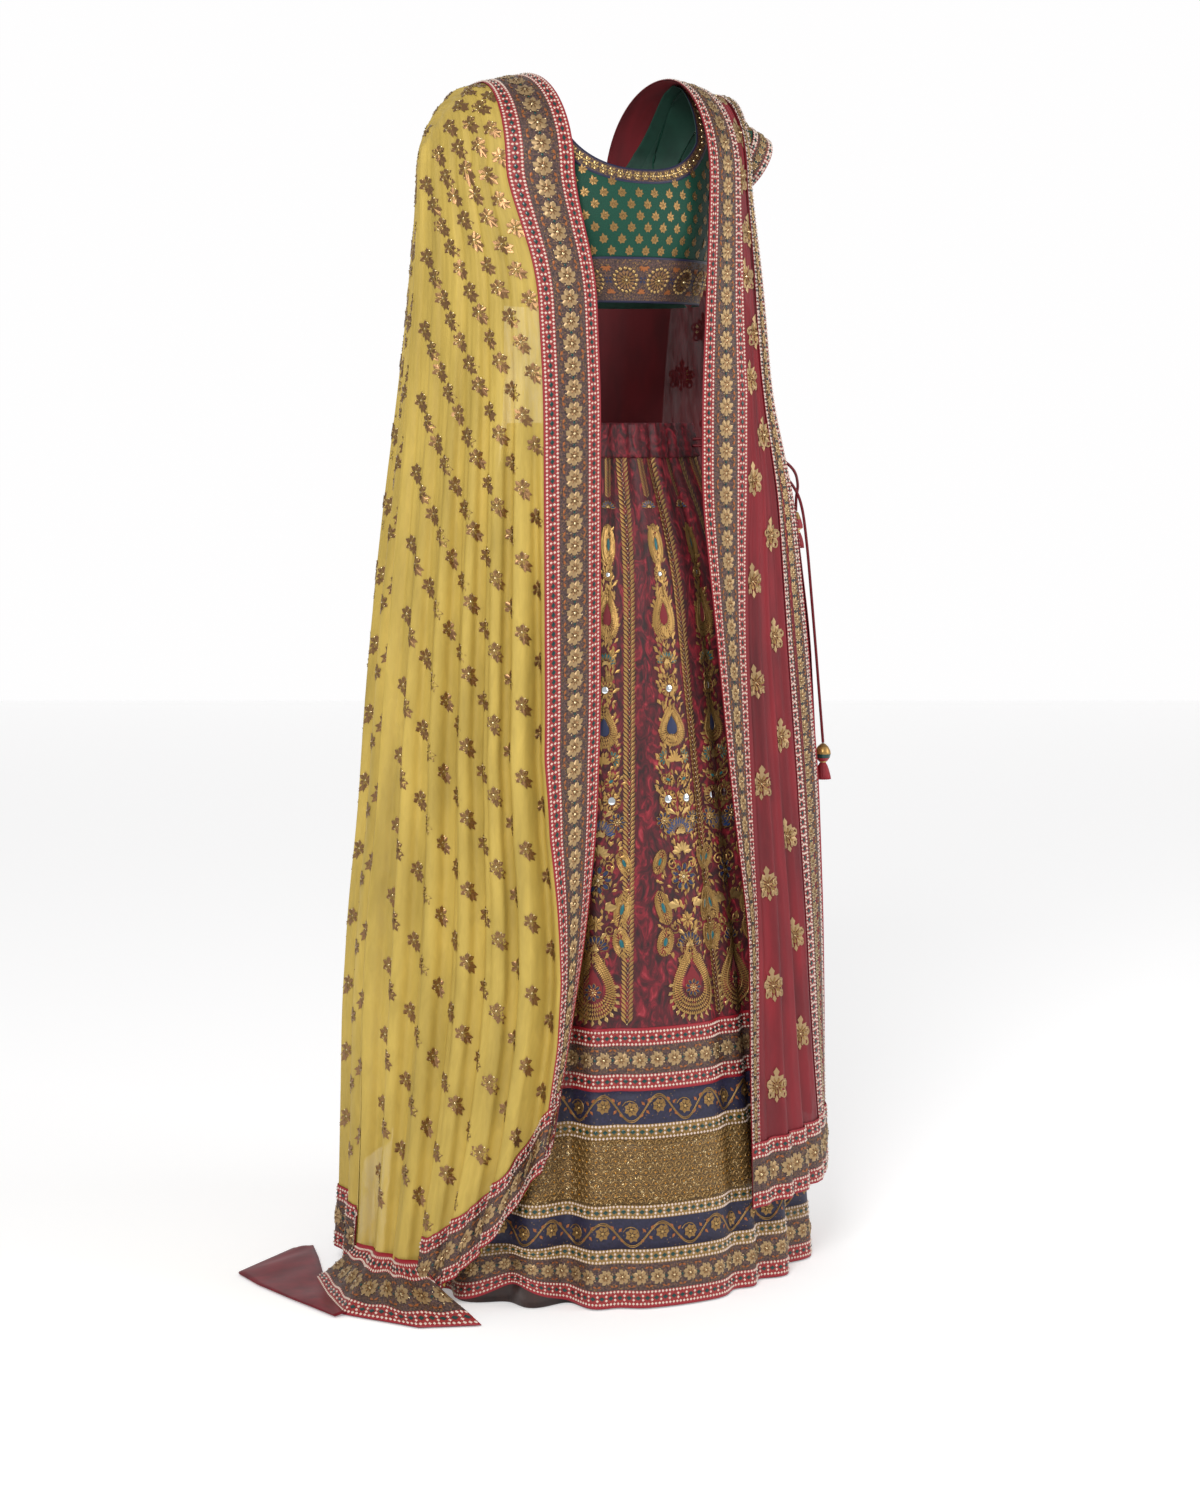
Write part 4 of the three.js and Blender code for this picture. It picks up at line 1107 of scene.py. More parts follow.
def sew_rosettes(needle, band, first, last):
    """Large rosettes ringed with sequins, for the choli's hem band."""
    middle = (first + last) / 2
    crest = wreath(petal(6, 3.0, 1.2), 5, 100, 160)
    needle.rows(
        band, 39.0,
        ("gold", bead_ring(dome(2.0, 1.1, 6), 13.2, 16), middle, 0.4, 0, 0),
        ("copper", wreath(petal(6.5, 3.2, 1.4, 5), 14), middle, 0.4, 0, 0),
        ("zari", wreath(petal(4.5, 2.6, 1.9, 1.6), 9), middle, 0.9, 0, 0),
        ("pearl_gold", dome(1.8, 2.6), middle, 0.9, 0, 0),
        ("navy_thread", wreath(petal(4.5, 2.4, 1.0, 0.5), 4, 45), middle, 0.3, BETWEEN, 0),
        ("amber", crest, middle - 15, 0.3, BETWEEN, -90),
        ("amber", crest, middle + 15, 0.3, BETWEEN, 90))
    sew_fill(needle, band, first, last, ("zari", "copper", "mauve"), 2.9)


def sew_small_flowers(needle, band, first, last):
    """Close row of bead flowers, for the neck and sleeve bands."""
    middle = (first + last) / 2
    size = (last - first) / 2 - 0.6
    needle.rows(
        band, size * 2.0,
        ("gold", wreath(petal(size * 0.75, size * 0.6, 1.4, size * 0.2), 6), middle, 0.2, 0, 0),
        ("pearl_gold", dome(size * 0.24, 1.8), middle, 0.6, 0, 0))
    sew_fill(needle, band, first, last, ("zari", "copper"), 2.6, 0.7)


SEWN = {
    "pearls": sew_pearls,
    "pearls_mustard": sew_pearls,
    "flowers": sew_flowers,
    "vine": sew_vine,
    "lattice": sew_lattice,
    "rosettes": sew_rosettes,
    "small_flowers": sew_small_flowers,
}
# Strips across each band: kind and width
DUPATTA_STRIPS = (("piping", 2), ("pearls", 17), ("flowers", 40), ("pearls", 17), ("piping", 2))
NECK_STRIPS = (("navy_piping", 2), ("small_flowers", 12.5), ("navy_piping", 2.5))
HEM_STRIPS = (("navy_piping", 2.5), ("rosettes", 47), ("navy_piping", 2.5))
SLEEVE_STRIPS = (("pearls", 8), ("flowers", 16), ("pearls", 8))
OUTER_STRIPS = (("piping", 2), ("pearls", 14), ("flowers", 28), ("pearls", 14), ("piping", 2))
OUTER_WIDTHS = {"front": 62.0, "back": 60.0}
# Each ring of the skirt's border: node, slot, upper and lower edge, strips
SKIRT_BANDS = (
    ("skirt_border_top", "flower_border", 332, 258,
     (("piping", 3), ("pearls", 18), ("flowers", 33), ("pearls", 17), ("piping", 3))),
    ("skirt_border_navy_upper", "navy_border", 258, 201, (("vine", 39), ("pearls_mustard", 18))),
    ("skirt_border_gold", "gold_lattice", 201, 124, (("lattice", 77),)),
    ("skirt_border_navy_lower", "navy_border", 124, 72, (("pearls_mustard", 16), ("vine", 36))),
    ("skirt_border_hem", "flower_border", 72, 2,
     (("pearls_mustard", 17), ("flowers", 32), ("pearls", 18), ("piping", 3))),
)


STRIP_STEP = 18.0


def strip_lines(strips, width):
    """Lines across a band at every strip's edges and between them, and the kind of each space."""
    total = sum(size for _, size in strips)
    lines = [0.0]
    kinds = []
    for kind, size in strips:
        parts = max(1, math.ceil(size / STRIP_STEP))
        for _ in range(parts):
            lines.append(lines[-1] + size / parts)
            kinds.append(kind)
    return np.array(lines) * width / total, kinds


def ground_list(kinds):
    """The materials of these kinds, each once, and the number of each kind's material."""
    names = list(dict.fromkeys(kinds))
    return [MATERIALS[kind] for kind in names], np.array([names.index(kind) for kind in kinds])


def dressed_band(name, cloth_of, strips, width, slot, node, wall=1.2, inside="maroon_silk", runs_down=False):
    """A border: its cloth with a ground for each strip, and its needlework."""
    lines, kinds = strip_lines(strips, width)
    cloth = cloth_of(lines)
    grounds, numbers = ground_list(kinds)
    side = "column_kinds" if runs_down else "row_kinds"
    made = finished(wall_object(name, cloth, wall, grounds, MATERIALS[inside], **{side: numbers}), slot, node)
    band = Band(cloth, lines, runs_down)
    needle = Needlework()
    scale = width / sum(size for _, size in strips)
    edge = 0.0
    for kind, size in strips:
        if kind in SEWN:
            SEWN[kind](needle, band, edge * scale, (edge + size) * scale)
        edge += size
    return made, needle.build(name + "_needlework")


# Skirt
SKIRT_COLUMNS = 384
VELVET_ROWS = 70
WAIST_ROWS = 13
ring_angles = np.arange(SKIRT_COLUMNS) * 360 / SKIRT_COLUMNS - 180


def skirt_ring(heights, inset):
    return Cloth(skirt_points(ring_angles[None, :], heights, inset), closed=True)


velvet = skirt_ring(np.linspace(WAIST_BOTTOM, BAND_TOP, VELVET_ROWS)[:, None], -SKIRT_WALL)
velvet_skirt = finished(sheet_object("velvet_skirt", velvet, MATERIALS["velvet"]),
                        "skirt_velvet", "skirt_velvet_front", "skirt_velvet_back")


def velvet_place(degrees, height):
    row = (WAIST_BOTTOM - height) / (WAIST_BOTTOM - BAND_TOP) * (VELVET_ROWS - 1)
    return row, (degrees + 180) / 360 * SKIRT_COLUMNS


def velvet_radius(height):
    """Mean of the skirt's half width and half depth, nearly."""
    return table_value(SKIRT, 1, height) * 0.92


def gathered_waist():
    ring = skirt_ring(np.linspace(WAIST_TOP, WAIST_BOTTOM - 1, WAIST_ROWS)[:, None], -3.6)
    rows = np.linspace(0, 1, WAIST_ROWS)[:, None]
    angle = np.radians(ring_angles)[None, :]
    crinkle = (0.8 * np.sin(rows * 24 + 2 * np.sin(3 * angle))
               + 0.6 * np.sin(rows * 41 + 3 * np.sin(5 * angle + 1))
               + 0.5 * np.sin(38 * angle + 4 * rows))
    swell = 1.6 * np.sin(np.pi * rows)
    return ring.moved(crinkle * np.sin(np.pi * rows) ** 0.5 + swell)


waistband = cloth_piece("gathered_waistband", gathered_waist(), 2.4, "velvet", "velvet",
                        "skirt_velvet", "waistband")


def band_ring(top, bottom, is_hem):
    def cloth_of(lines):
        share = lines[:, None] / (top - bottom)
        lowest = bottom + (hem_height(ring_angles)[None, :] if is_hem else 0)
        return skirt_ring(lerp(top, lowest, share), -SKIRT_WALL - 0.4)
    return cloth_of


for node, slot, top, bottom, strips in SKIRT_BANDS:
    ring_of = band_ring(top, bottom, node == "skirt_border_hem")
    dressed_band(
        node + "_cloth", ring_of, strips, top - bottom, slot, node, SKIRT_WALL, "satin_lining")

lining_cloth = skirt_ring(np.linspace(LINING["top"], LINING["bottom"], 3)[:, None], LINING["inset"] - 1)
lining = cloth_piece("satin_hem_lining", lining_cloth, 1.0, "satin_lining", "satin_lining",
                     "satin_lining", "skirt_lining")

# Skirt needlework: angles of the motif columns and of the herringbone stripes, at the waist and at the border
COLUMN_TOPS = (-21.6, 2.3, 28.0)
COLUMN_BOTTOMS = (-30.0, 5.0, 25.5)
STRIPE_TOPS = (-12.0, 11.8)
STRIPE_BOTTOMS = (-18.5, 17.0)
PANEL = 24.0
PANELS_BEHIND = 12
STRIPE_HEIGHTS = (996, BAND_TOP + 4)
STEM_HEIGHTS = (996, 952)
STITCH_STEP = 5.4


def along_panel(top, bottom, height):
    return lerp(bottom, top, (height - BAND_TOP) / (WAIST_BOTTOM - BAND_TOP))


def herringbone(needle, top, bottom, ends, size):
    """Pairs of slanting stitches beside a light middle thread."""
    highest, lowest = ends
    heights = np.linspace(highest, lowest, int((highest - lowest) / (STITCH_STEP * size)))
    row, column = velvet_place(along_panel(top, bottom, heights), heights)
    stitch = petal(11.5, 3.4, 1.4, 0.6)
    for kind, degrees in (("zari", -52), ("gold_thread", -128)):
        needle.on_cloth(velvet, kind, stitch, spots(row, column, degrees, size), 0.1)
    needle.on_cloth(velvet, "pearl_gold", spike(0.9, 1.2, 3), spots(row, column, 0, size), 0.3)


def outline(radius, near, far, tip, width, height):
    """Thread round a petal: near and far are shares of the radius along and beside it."""
    sides = [(near[0], -near[1]), (far[0], -far[1]), (tip, 0), far, near]
    return stroke(np.array(sides) * radius, width, height)


def fan(radius, kind, count=9):
    """Half-round fan of outlined petals above a gold base."""
    inner = petal(radius * 0.62, radius * 0.3, 1.0, radius * 0.4)
    frame = outline(radius, (0.38, 0.16), (0.95, 0.15), 1.06, 1.0, 1.2)
    return [
        (kind, wreath(inner, count, 190, 160)),
        ("zari", wreath(frame, count, 190, 160)),
        ("gold", wreath(petal(radius * 0.36, radius * 0.22, 1.4, 0), 6, 190, 160)),
    ]


def stitched_shape(path, core_kind, core_scale, depth):
    """Gold shape of short radial stitches in rings round a coloured core."""
    rings = max(1, round((1 - core_scale) * np.abs(path).max() / depth))
    layers = []
    for number in range(rings):
        scale = 1 - (1 - core_scale) * (number + 1) / rings
        layers.append(radial_stitches(path * scale, depth * 1.15, depth * 0.5, 1.3, depth * 0.42))
    return [
        ("gold_thread", joined(*layers)),
        ("zari", joined(*(stroke(closed_path(path * s), 1.0, 1.5) for s in (1.0, core_scale)))),
        (core_kind, filled(path * core_scale * 0.9, 1.2)),
    ]


def mirror_motif(radius, core_kind):
    return [
        *stitched_shape(ellipse(radius * 2, radius * 2, 18), "mirror", 0.46, radius * 0.5),
        (core_kind, dome(radius * 0.24, 0.8, 8)),
    ]


def flower_motif(radius, kind):
    return [
        (kind, wreath(petal(radius * 0.55, radius * 0.42, 1.4, radius * 0.45), 9)),
        ("zari", wreath(outline(radius, (0.5, 0.17), (0.9, 0.17), 1.05, 0.9, 1.3), 9)),
        ("gold", wreath(petal(radius * 0.4, radius * 0.2, 1.7, radius * 0.12), 9)),
        ("pearl_gold", dome(radius * 0.14, 2.3)),
    ]


def core_leaf(width, height, kind):
    return stitched_shape(ellipse(width, height, 18), kind, 0.34, width * 0.24)


def paisley_motif(width, height):
    """Large frilled mango shape round a navy flower."""
    path = teardrop(width, height, 30)
    layers = [radial_stitches(path * s, 5.2, 2.4, 1.6, 2.5) for s in (0.9, 0.78, 0.66, 0.54)]
    frill = teardrop(width, height, 30)
    frill = frill[frill[:, 1] > height * 0.02]
    frill = frill[np.argsort(np.arctan2(frill[:, 1], frill[:, 0]))]
    outward = np.degrees(np.arctan2(frill[:, 1], frill[:, 0]))
    rays = [moved(turned(petal(9.0, 4.6, 2.2), a), x, y) for a, (x, y) in zip(outward, frill * 0.98)]
    threads = [stroke(closed_path(path), 1.3, 1.8), stroke(closed_path(path * 0.72), 1.2, 1.8)]
    for side in (-1, 1):
        curl = stroke(spiral(6.0, 1.1, 90, hand=side), 1.2, 1.4)
        threads.append(moved(curl, side * width * 0.2, -height * 0.3))
    parts = [
        ("gold_thread", joined(*layers)),
        ("gold", joined(*rays)),
        ("zari", joined(*threads)),
        ("velvet_ground", filled(path * 0.42, 0.4)),
    ]
    for kind, part in flower_motif(width * 0.17, "navy_thread"):
        parts.append((kind, moved(part, 0, height * 0.12)))
    return parts


def pair(height, aside, degrees, parts):
    """The same motif on both sides of a column, turned towards each other."""
    return [(height, -aside, degrees, parts), (height, aside, -degrees, parts)]


def leaf_pair(height, aside, degrees, part):
    return [(height, -aside, 180 - degrees, [("gold", part)]), (height, aside, degrees, [("gold", part)])]


def curl_pair(height, aside, kind, radius, turns, start, width, rise):
    curls = [(-aside, spiral(radius, turns, 180 - start, hand=-1)), (aside, spiral(radius, turns, start))]
    return [(height, x, 0, [(kind, stroke(path, width, rise))]) for x, path in curls]


def column_motifs():
    """Motifs of one column from the waist down: height above the floor, sideways place, turn and parts."""
    return [
        (940, 0, 0, fan(8.5, "blue_thread", 7)),
        (897, 0, 0, core_leaf(14, 50, "teal_thread")),
        (862, 0, 0, mirror_motif(7, "teal_thread")),
        (816, 0, 0, stitched_shape(teardrop(27, 62, 26), "velvet_ground", 0.5, 4.4)),
        (757, 0, 0, fan(13, "teal_thread")),
        *curl_pair(739, 6, "zari", 5, 1.2, 180, 1.3, 1.5),
        (727, 0, 0, mirror_motif(10, "teal_thread")),
        (684, 0, 0, stitched_shape(teardrop(34, 50, 26), "navy_thread", 0.5, 4.6)),
        *pair(646, 13, -75, fan(9, "teal_thread", 6)),
        (640, 0, 0, [("gold_thread", wreath(petal(11, 4.5, 1.5, 1), 7, 200, 140))]),
        *pair(620, 12, 25, core_leaf(19, 11, "teal_thread")),
        *pair(597, 14, 0, mirror_motif(11, "navy_thread")),
        *leaf_pair(578, 4, -35, petal(15, 6, 1.8)),
        *pair(572, 22, 0, flower_motif(10, "navy_thread")),
        (556, 0, 0, fan(19, "blue_thread", 13)),
        (533, 0, 0, [("gold", wreath(petal(12, 6, 1.8, 2), 7, 190, 160))]),
        *curl_pair(520, 14, "gold_thread", 7.5, 1.3, 240, 1.8, 1.7),
        *pair(524, 33, 20, core_leaf(13, 30, "teal_thread")),
        (505, 0, 0, flower_motif(16, "navy_thread")),
        (505, 0, 0, mirror_motif(5, "navy_thread")),
        (470, -10, 195, [("gold", joined(petal(17, 10, 2.2), turned(petal(13, 7, 2), 38)))]),
        (470, 10, -15, [("gold", joined(petal(17, 10, 2.2), turned(petal(13, 7, 2), -38)))]),
        *pair(470, 33, -15, core_leaf(15, 42, "teal_thread")),
        (454, 0, 0, [("gold_thread", wreath(petal(9, 4.5, 1.6, 1), 8))]),
        *curl_pair(446, 18, "zari", 7, 1.3, 60, 1.6, 1.6),
        *leaf_pair(437, 6, -40, petal(11, 5, 1.8)),
        (423, 0, 0, fan(17, "navy_thread", 9)),
        *pair(430, 34, 15, core_leaf(17, 34, "teal_thread")),
        (384, 0, 0, paisley_motif(60, 84)),
    ]


def sew_columns(needle, tops, bottoms):
    for height, aside, degrees, parts in column_motifs():
        places = []
        for top, bottom in zip(tops, bottoms):
            beside = math.degrees(aside / velvet_radius(height))
            row, column = velvet_place(along_panel(top, bottom, height) + beside, height)
            places.append((row, column, degrees, 1))
        for kind, part in parts:
            needle.on_cloth(velvet, kind, part, np.array(places, float), 0.2)


# Half width of a column's embroidery at heights above the floor
COLUMN_SPREAD = np.array([
    (400, 18), (430, 40), (520, 38), (560, 24), (610, 27), (660, 20), (700, 15), (760, 13), (820, 13),
    (860, 7), (900, 6),
], float)
FILLING_ENDS = (404, 912)
FILLING_ACROSS = 6


def sew_column_filling(needle, top, bottom):
    """Small curled stitches that fill the ground between a column's motifs."""
    heights = np.repeat(np.arange(*FILLING_ENDS, STITCH_STEP), FILLING_ACROSS)
    heights = heights + random.uniform(-2.5, 2.5, len(heights))
    reach = np.interp(heights, *COLUMN_SPREAD.T) * random.uniform(-1, 1, len(heights))
    beside = np.degrees(reach / velvet_radius(heights))
    row, column = velvet_place(along_panel(top, bottom, heights) + beside, heights)
    turns = -90 + reach * 1.6 + random.uniform(-40, 40, len(heights))
    chosen = random.integers(0, 3, len(heights))
    leaf = petal(8.0, 3.6, 1.3)
    for number, kind in enumerate(("gold_thread", "zari", "gold_thread")):
        here = chosen == number
        needle.on_cloth(velvet, kind, leaf, spots(row[here], column[here], turns[here]), 0.1)


panels = np.arange(1, PANELS_BEHIND + 1) * PANEL
column_tops = np.concatenate([COLUMN_TOPS, COLUMN_TOPS[-1] + panels])
column_bottoms = np.concatenate([COLUMN_BOTTOMS, COLUMN_TOPS[-1] + panels])
stripes_behind = COLUMN_TOPS[-1] + PANEL / 2 + np.arange(PANELS_BEHIND + 1) * PANEL
stripe_tops = np.concatenate([STRIPE_TOPS, stripes_behind])
stripe_bottoms = np.concatenate([STRIPE_BOTTOMS, stripes_behind])
skirt_needle = Needlework()
sew_columns(skirt_needle, column_tops, column_bottoms)
for top, bottom in zip(stripe_tops, stripe_bottoms):
    herringbone(skirt_needle, top, bottom, STRIPE_HEIGHTS, 1.0)
for top, bottom in zip(column_tops, column_bottoms):
    herringbone(skirt_needle, top, bottom, STEM_HEIGHTS, 0.55)
    sew_column_filling(skirt_needle, top, bottom)
skirt_embroidery = skirt_needle.build("skirt_embroidery")


# Choli
def choli_stations():
    side = np.linspace(TIP_SHARE, 1, 26)
    seam = np.linspace(NECK_SHARE, TIP_SHARE, 9)[:-1]
    neck = np.linspace(-NECK_SHARE, NECK_SHARE, 61)
    left = np.concatenate([seam, side])
    return np.concatenate([-left[::-1], neck[1:-1], left])


CHOLI_ROWS = 40


def choli_panel(face):
    s = choli_stations()[None, :]
    v = np.linspace(1, 0, CHOLI_ROWS)[:, None]
    return Cloth(bodice_points(s + 0 * v, v + 0 * s, face)).moved(CHOLI_WALL)


def neck_cloth(face):
    def cloth_of(lines):
        s = np.linspace(-NECK_SHARE, NECK_SHARE, 120)[None, :]
        rows = []
        for line in lines:
            x, z = bodice_top(s[0], face, line)
            rows.append(on_bodice(x, z, face))
        return Cloth(rows).moved(CHOLI_WALL + 0.3)
    return cloth_of


def hem_cloth(face):
    def cloth_of(lines):
        s = np.linspace(-1, 1, 160)[None, :]
        heights = CHOLI_HEM_HEIGHT + HEM_BAND_WIDTH - lines[:, None]
        top = bodice_top(s, face, NECK_BAND_WIDTH)[1]
        v = (heights - CHOLI_HEM_HEIGHT) / (top - CHOLI_HEM_HEIGHT)
        return Cloth(bodice_points(s + 0 * v, v, face)).moved(CHOLI_WALL + SEAM_GAP + 1.1)
    return cloth_of


def nearest_place(cloth, x, height):
    """Row and column numbers on the cloth at sideways places and heights, where it reaches them."""
    flat = cloth.points.reshape(-1, 3)
    away = (flat[None, :, 0] - x[:, None]) ** 2 + (flat[None, :, 2] - height[:, None]) ** 2
    index = away.argmin(1)
    on_cloth = away.min(1) < 20
    row, column = (part[on_cloth].astype(float) for part in np.divmod(index, cloth.points.shape[1]))
    here, over, down = (place[:, [0, 2]] for place in (
        cloth.at(row, column),
        cloth.at(row, column + 0.5) - cloth.at(row, column - 0.5),
        cloth.at(row + 0.5, column) - cloth.at(row - 0.5, column)))
    miss = np.stack([x, height], -1)[on_cloth] - here
    size = over[:, 0] * down[:, 1] - over[:, 1] * down[:, 0]
    size = np.where(np.abs(size) < 0.3, np.inf, size)
    row = row + (over[:, 0] * miss[:, 1] - over[:, 1] * miss[:, 0]) / size
    column = column + (miss[:, 0] * down[:, 1] - miss[:, 1] * down[:, 0]) / size
    return row, column


BUTI_ACROSS = 21.0
BUTI_DOWN = 13.4
BUTI_ROWS = 17
BUTIS_EACH_WAY = 9


def buti():
    """Small woven flower with a pointed crown."""
    return joined(
        wreath(petal(5.0, 3.6, 0.7, 0.6), 7, -90),
        turned(petal(7.4, 3.0, 0.8), -90),
        moved(dome(1.5, 1.2, 5), 0, 0.4),
    )


def brocade(name, cloth, places):
    needle = Needlework()
    needle.on_cloth(cloth, "zari", buti(), places, 0.1)
    return needle.build(name)


def panel_places(cloth):
    x = []
    heights = []
    for number in range(BUTI_ROWS):
        height = CHOLI_HEM_HEIGHT + HEM_BAND_WIDTH + 7 + number * BUTI_DOWN
        across = (np.arange(-BUTIS_EACH_WAY, BUTIS_EACH_WAY + 1) + 0.5 * (number % 2)) * BUTI_ACROSS
        x.append(across)
        heights.append(np.full(len(across), height))
    row, column = nearest_place(cloth, np.concatenate(x), np.concatenate(heights))
    inside = (row > 1) & (row < CHOLI_ROWS - 2) & (column > 1) & (column < cloth.points.shape[1] - 2)
    return spots(row[inside], column[inside])


for face in ("front", "back"):
    panel = choli_panel(face)
    made = cloth_piece(f"brocade_{face}", panel, CHOLI_WALL, "brocade", "green_lining",
                       "choli_brocade", f"choli_{face}")
    butis = brocade(f"brocade_butis_{face}", panel, panel_places(panel))
    neck = dressed_band(f"neck_trim_{face}", neck_cloth(face), NECK_STRIPS, NECK_BAND_WIDTH,
                        "choli_trim", f"neck_band_{face}", 1.0, "green_lining")
    hem = dressed_band(f"hem_trim_{face}", hem_cloth(face), HEM_STRIPS, HEM_BAND_WIDTH,
                       "choli_trim", f"choli_hem_band_{face}", 1.1, "green_lining")


def armhole_loop(sign, count):
    shares = np.linspace(TIP_SHARE, 1, count)
    front = bodice_points(shares, np.ones(count), "front")
    back = bodice_points(shares[::-1], np.ones(count), "back")
    loop = np.vstack([front, back])
    return np.stack([sign * (loop[:, 0] + CHOLI_WALL + SEAM_GAP), loop[:, 1], loop[:, 2] + 1], -1)


def cuff_loop(sign, count, out, grow=0.0):
    cuff = CUFFS[sign]
    slope = math.hypot(cuff["tilt"], 1)
    down = np.array([cuff["tilt"], 0, -1]) / slope
    wide = np.array([1, 0, cuff["tilt"]]) / slope
    angle = (np.arange(count) + 0.5) / count * 2 * np.pi
    radius = cuff["radius"] + grow
    centre = np.array([cuff["x"], cuff["y"], cuff["z"]])
    points = centre + wide * radius * np.cos(angle)[:, None] + down * out
    points[:, 1] -= radius * np.sin(angle)
    return points * (sign, 1, 1)


SLEEVE_COLUMNS = 48
SLEEVE_ROWS = 22


def sleeve_cloth(sign):
    head = armhole_loop(sign, SLEEVE_COLUMNS // 2)
    cuff = cuff_loop(sign, SLEEVE_COLUMNS, 0)
    share = np.linspace(0, 1, SLEEVE_ROWS)[:, None, None]
    points = lerp(head, cuff, share)
    points[..., 0] += sign * SLEEVE_PUFF * np.sin(np.pi * share[..., 0])
    return Cloth(points, closed=True).moved(CHOLI_WALL)


def sleeve_band_cloth(sign):
    def cloth_of(lines):
        return Cloth([cuff_loop(sign, 72, 1.8 + line, 1.3) for line in lines], closed=True)
    return cloth_of


for side, sign in (("right", -1), ("left", 1)):
    cloth = sleeve_cloth(sign)
    made = cloth_piece(f"brocade_sleeve_{side}", cloth, CHOLI_WALL, "brocade", "green_lining",
                       "choli_brocade", f"sleeve_{side}")
    row = np.arange(2.5, SLEEVE_ROWS - 2, 2.6)[:, None]
    column = np.arange(0, SLEEVE_COLUMNS, 4.0)[None, :] + 2 * (np.arange(len(row)) % 2)[:, None]
    butis = brocade(f"brocade_butis_sleeve_{side}", cloth, spots(row, column))
    trim = dressed_band(f"sleeve_trim_{side}", sleeve_band_cloth(sign), SLEEVE_STRIPS, SLEEVE_BAND - 2,
                        "choli_trim", f"sleeve_band_{side}", 1.1, "green_lining")

# Dupattas
BORDER_LIFT = 2.2
# Side of the wearer, seed and depth of the small pleats, columns
gold_front = Dupatta(GOLD_FRONT, -1, 1, 4.2, 150)
gold_back = Dupatta(GOLD_BACK, -1, 2, 4.6, 148)
maroon_front = Dupatta(MAROON_FRONT, 1, 3, 2.0, 90)
maroon_back = Dupatta(MAROON_BACK, 1, 4, 3.6, 124)


def whole_dupatta(name, front, back):
    """The chiffon in one piece, up the front, over the shoulder and down the back."""
    columns = np.linspace(0, 1, len(back.stations))

    def resampled(part):
        rows = np.arange(len(part.cloth.points), dtype=float)
        row, column = np.meshgrid(rows, columns * (len(part.stations) - 1), indexing="ij")
        return part.cloth.at(row, column)

    points = np.concatenate([resampled(front)[::-1], resampled(back)[1:]])
    made = sheet_object(f"{name}_cloth", Cloth(points), MATERIALS[name])
    return finished(made, name, f"dupatta_{name}_front", f"dupatta_{name}_back")


def border_set(name, stretches, outer):
    """Long, end and outer borders of a dupatta, with their needlework."""
    pieces = []

    def sew(kind, place, cloth_of, strips, width, runs_down):
        pieces.extend(dressed_band(
            f"{name}_{kind}_trim_{place}", cloth_of, strips, width, "flower_border",
            f"dupatta_{name}_{kind}_border_{place}", runs_down=runs_down))

    for place, dupatta in stretches.items():
        sew("long", place, lambda lines: dupatta.strip(lines / BORDER_WIDTH * EDGE_SHARE, BORDER_LIFT),
            DUPATTA_STRIPS, BORDER_WIDTH, True)
        last = dupatta.drape.get("hanging_share", 1.0)
        sew("end", place, lambda lines: dupatta.end_strip(lines, BORDER_LIFT, last),
            DUPATTA_STRIPS, BORDER_WIDTH, False)
        if outer:
            width = OUTER_WIDTHS[place]
            share = 1 - dupatta.drape["outer_share"]
            sew("outer", place, lambda lines: dupatta.strip(1 - lines / width * share, BORDER_LIFT),
                OUTER_STRIPS, width, True)
    return pieces


gold_chiffon = whole_dupatta("gold_chiffon", gold_front, gold_back)
gold_borders = border_set("gold", {"front": gold_front, "back": gold_back}, False)
maroon_chiffon = whole_dupatta("maroon_chiffon", maroon_front, maroon_back)
maroon_borders = border_set("maroon", {"front": maroon_front, "back": maroon_back}, True)


def down_lengths(dupatta, s):
    """Length of cloth from the ridge to each row at a station."""
    column = np.full(len(dupatta.cloth.points), s * (len(dupatta.stations) - 1))
    line = dupatta.cloth.at(np.arange(len(column), dtype=float), column)
    return np.concatenate([[0], np.cumsum(np.linalg.norm(np.diff(line, axis=0), axis=1))])


def scattered(dupatta, first, last, across, down, slope, start):
    """Places of motifs in staggered rows: across in stations, down and slope in millimetres."""
    places = []
    for s_number, s in enumerate(np.arange(first, last, across / 2)):
        lengths = down_lengths(dupatta, s)
        distances = np.arange(start + (s_number % 2) * down / 2 + (s - first) * slope - 4 * down,
                              lengths[-1] - BORDER_WIDTH - 18, down)
        distances = distances[distances > 10]
        rows = np.interp(distances, lengths, np.arange(len(lengths)))
        places.append(spots(rows, s * (len(dupatta.stations) - 1), random.uniform(-8, 8, len(rows))))
    return np.vstack(places)


def gold_buti():
    """Leafy flower of bronze sequins with a short tail of leaves."""
    return {
        "copper": joined(
            wreath(petal(8.5, 6.2, 1.0, 1.8), 6, -90),
            *(moved(turned(petal(length, 5.0, 0.9), degrees), -3, 5)
              for degrees, length in ((128, 13), (165, 11), (95, 10))),
        ),
        "zari": joined(
            wreath(petal(5.5, 3.4, 1.6, 1.0), 7, -60),
            moved(turned(petal(8, 2.6, 1.4), 128), -4, 6),
        ),
        "gold": joined(*(moved(spike(1.3, 1.4), x, y) for x, y in
                         ((5.5, -5), (-6, -4), (8.2, 2), (-8.2, 3), (0, -9), (-10, 11), (2, 8)))),
        "pearl_gold": joined(*(moved(spike(radius, 1.6), x, y)
                               for radius, x, y in ((1.6, 0, 0), (1.2, 4, 4), (1.2, -4, -7)))),
    }


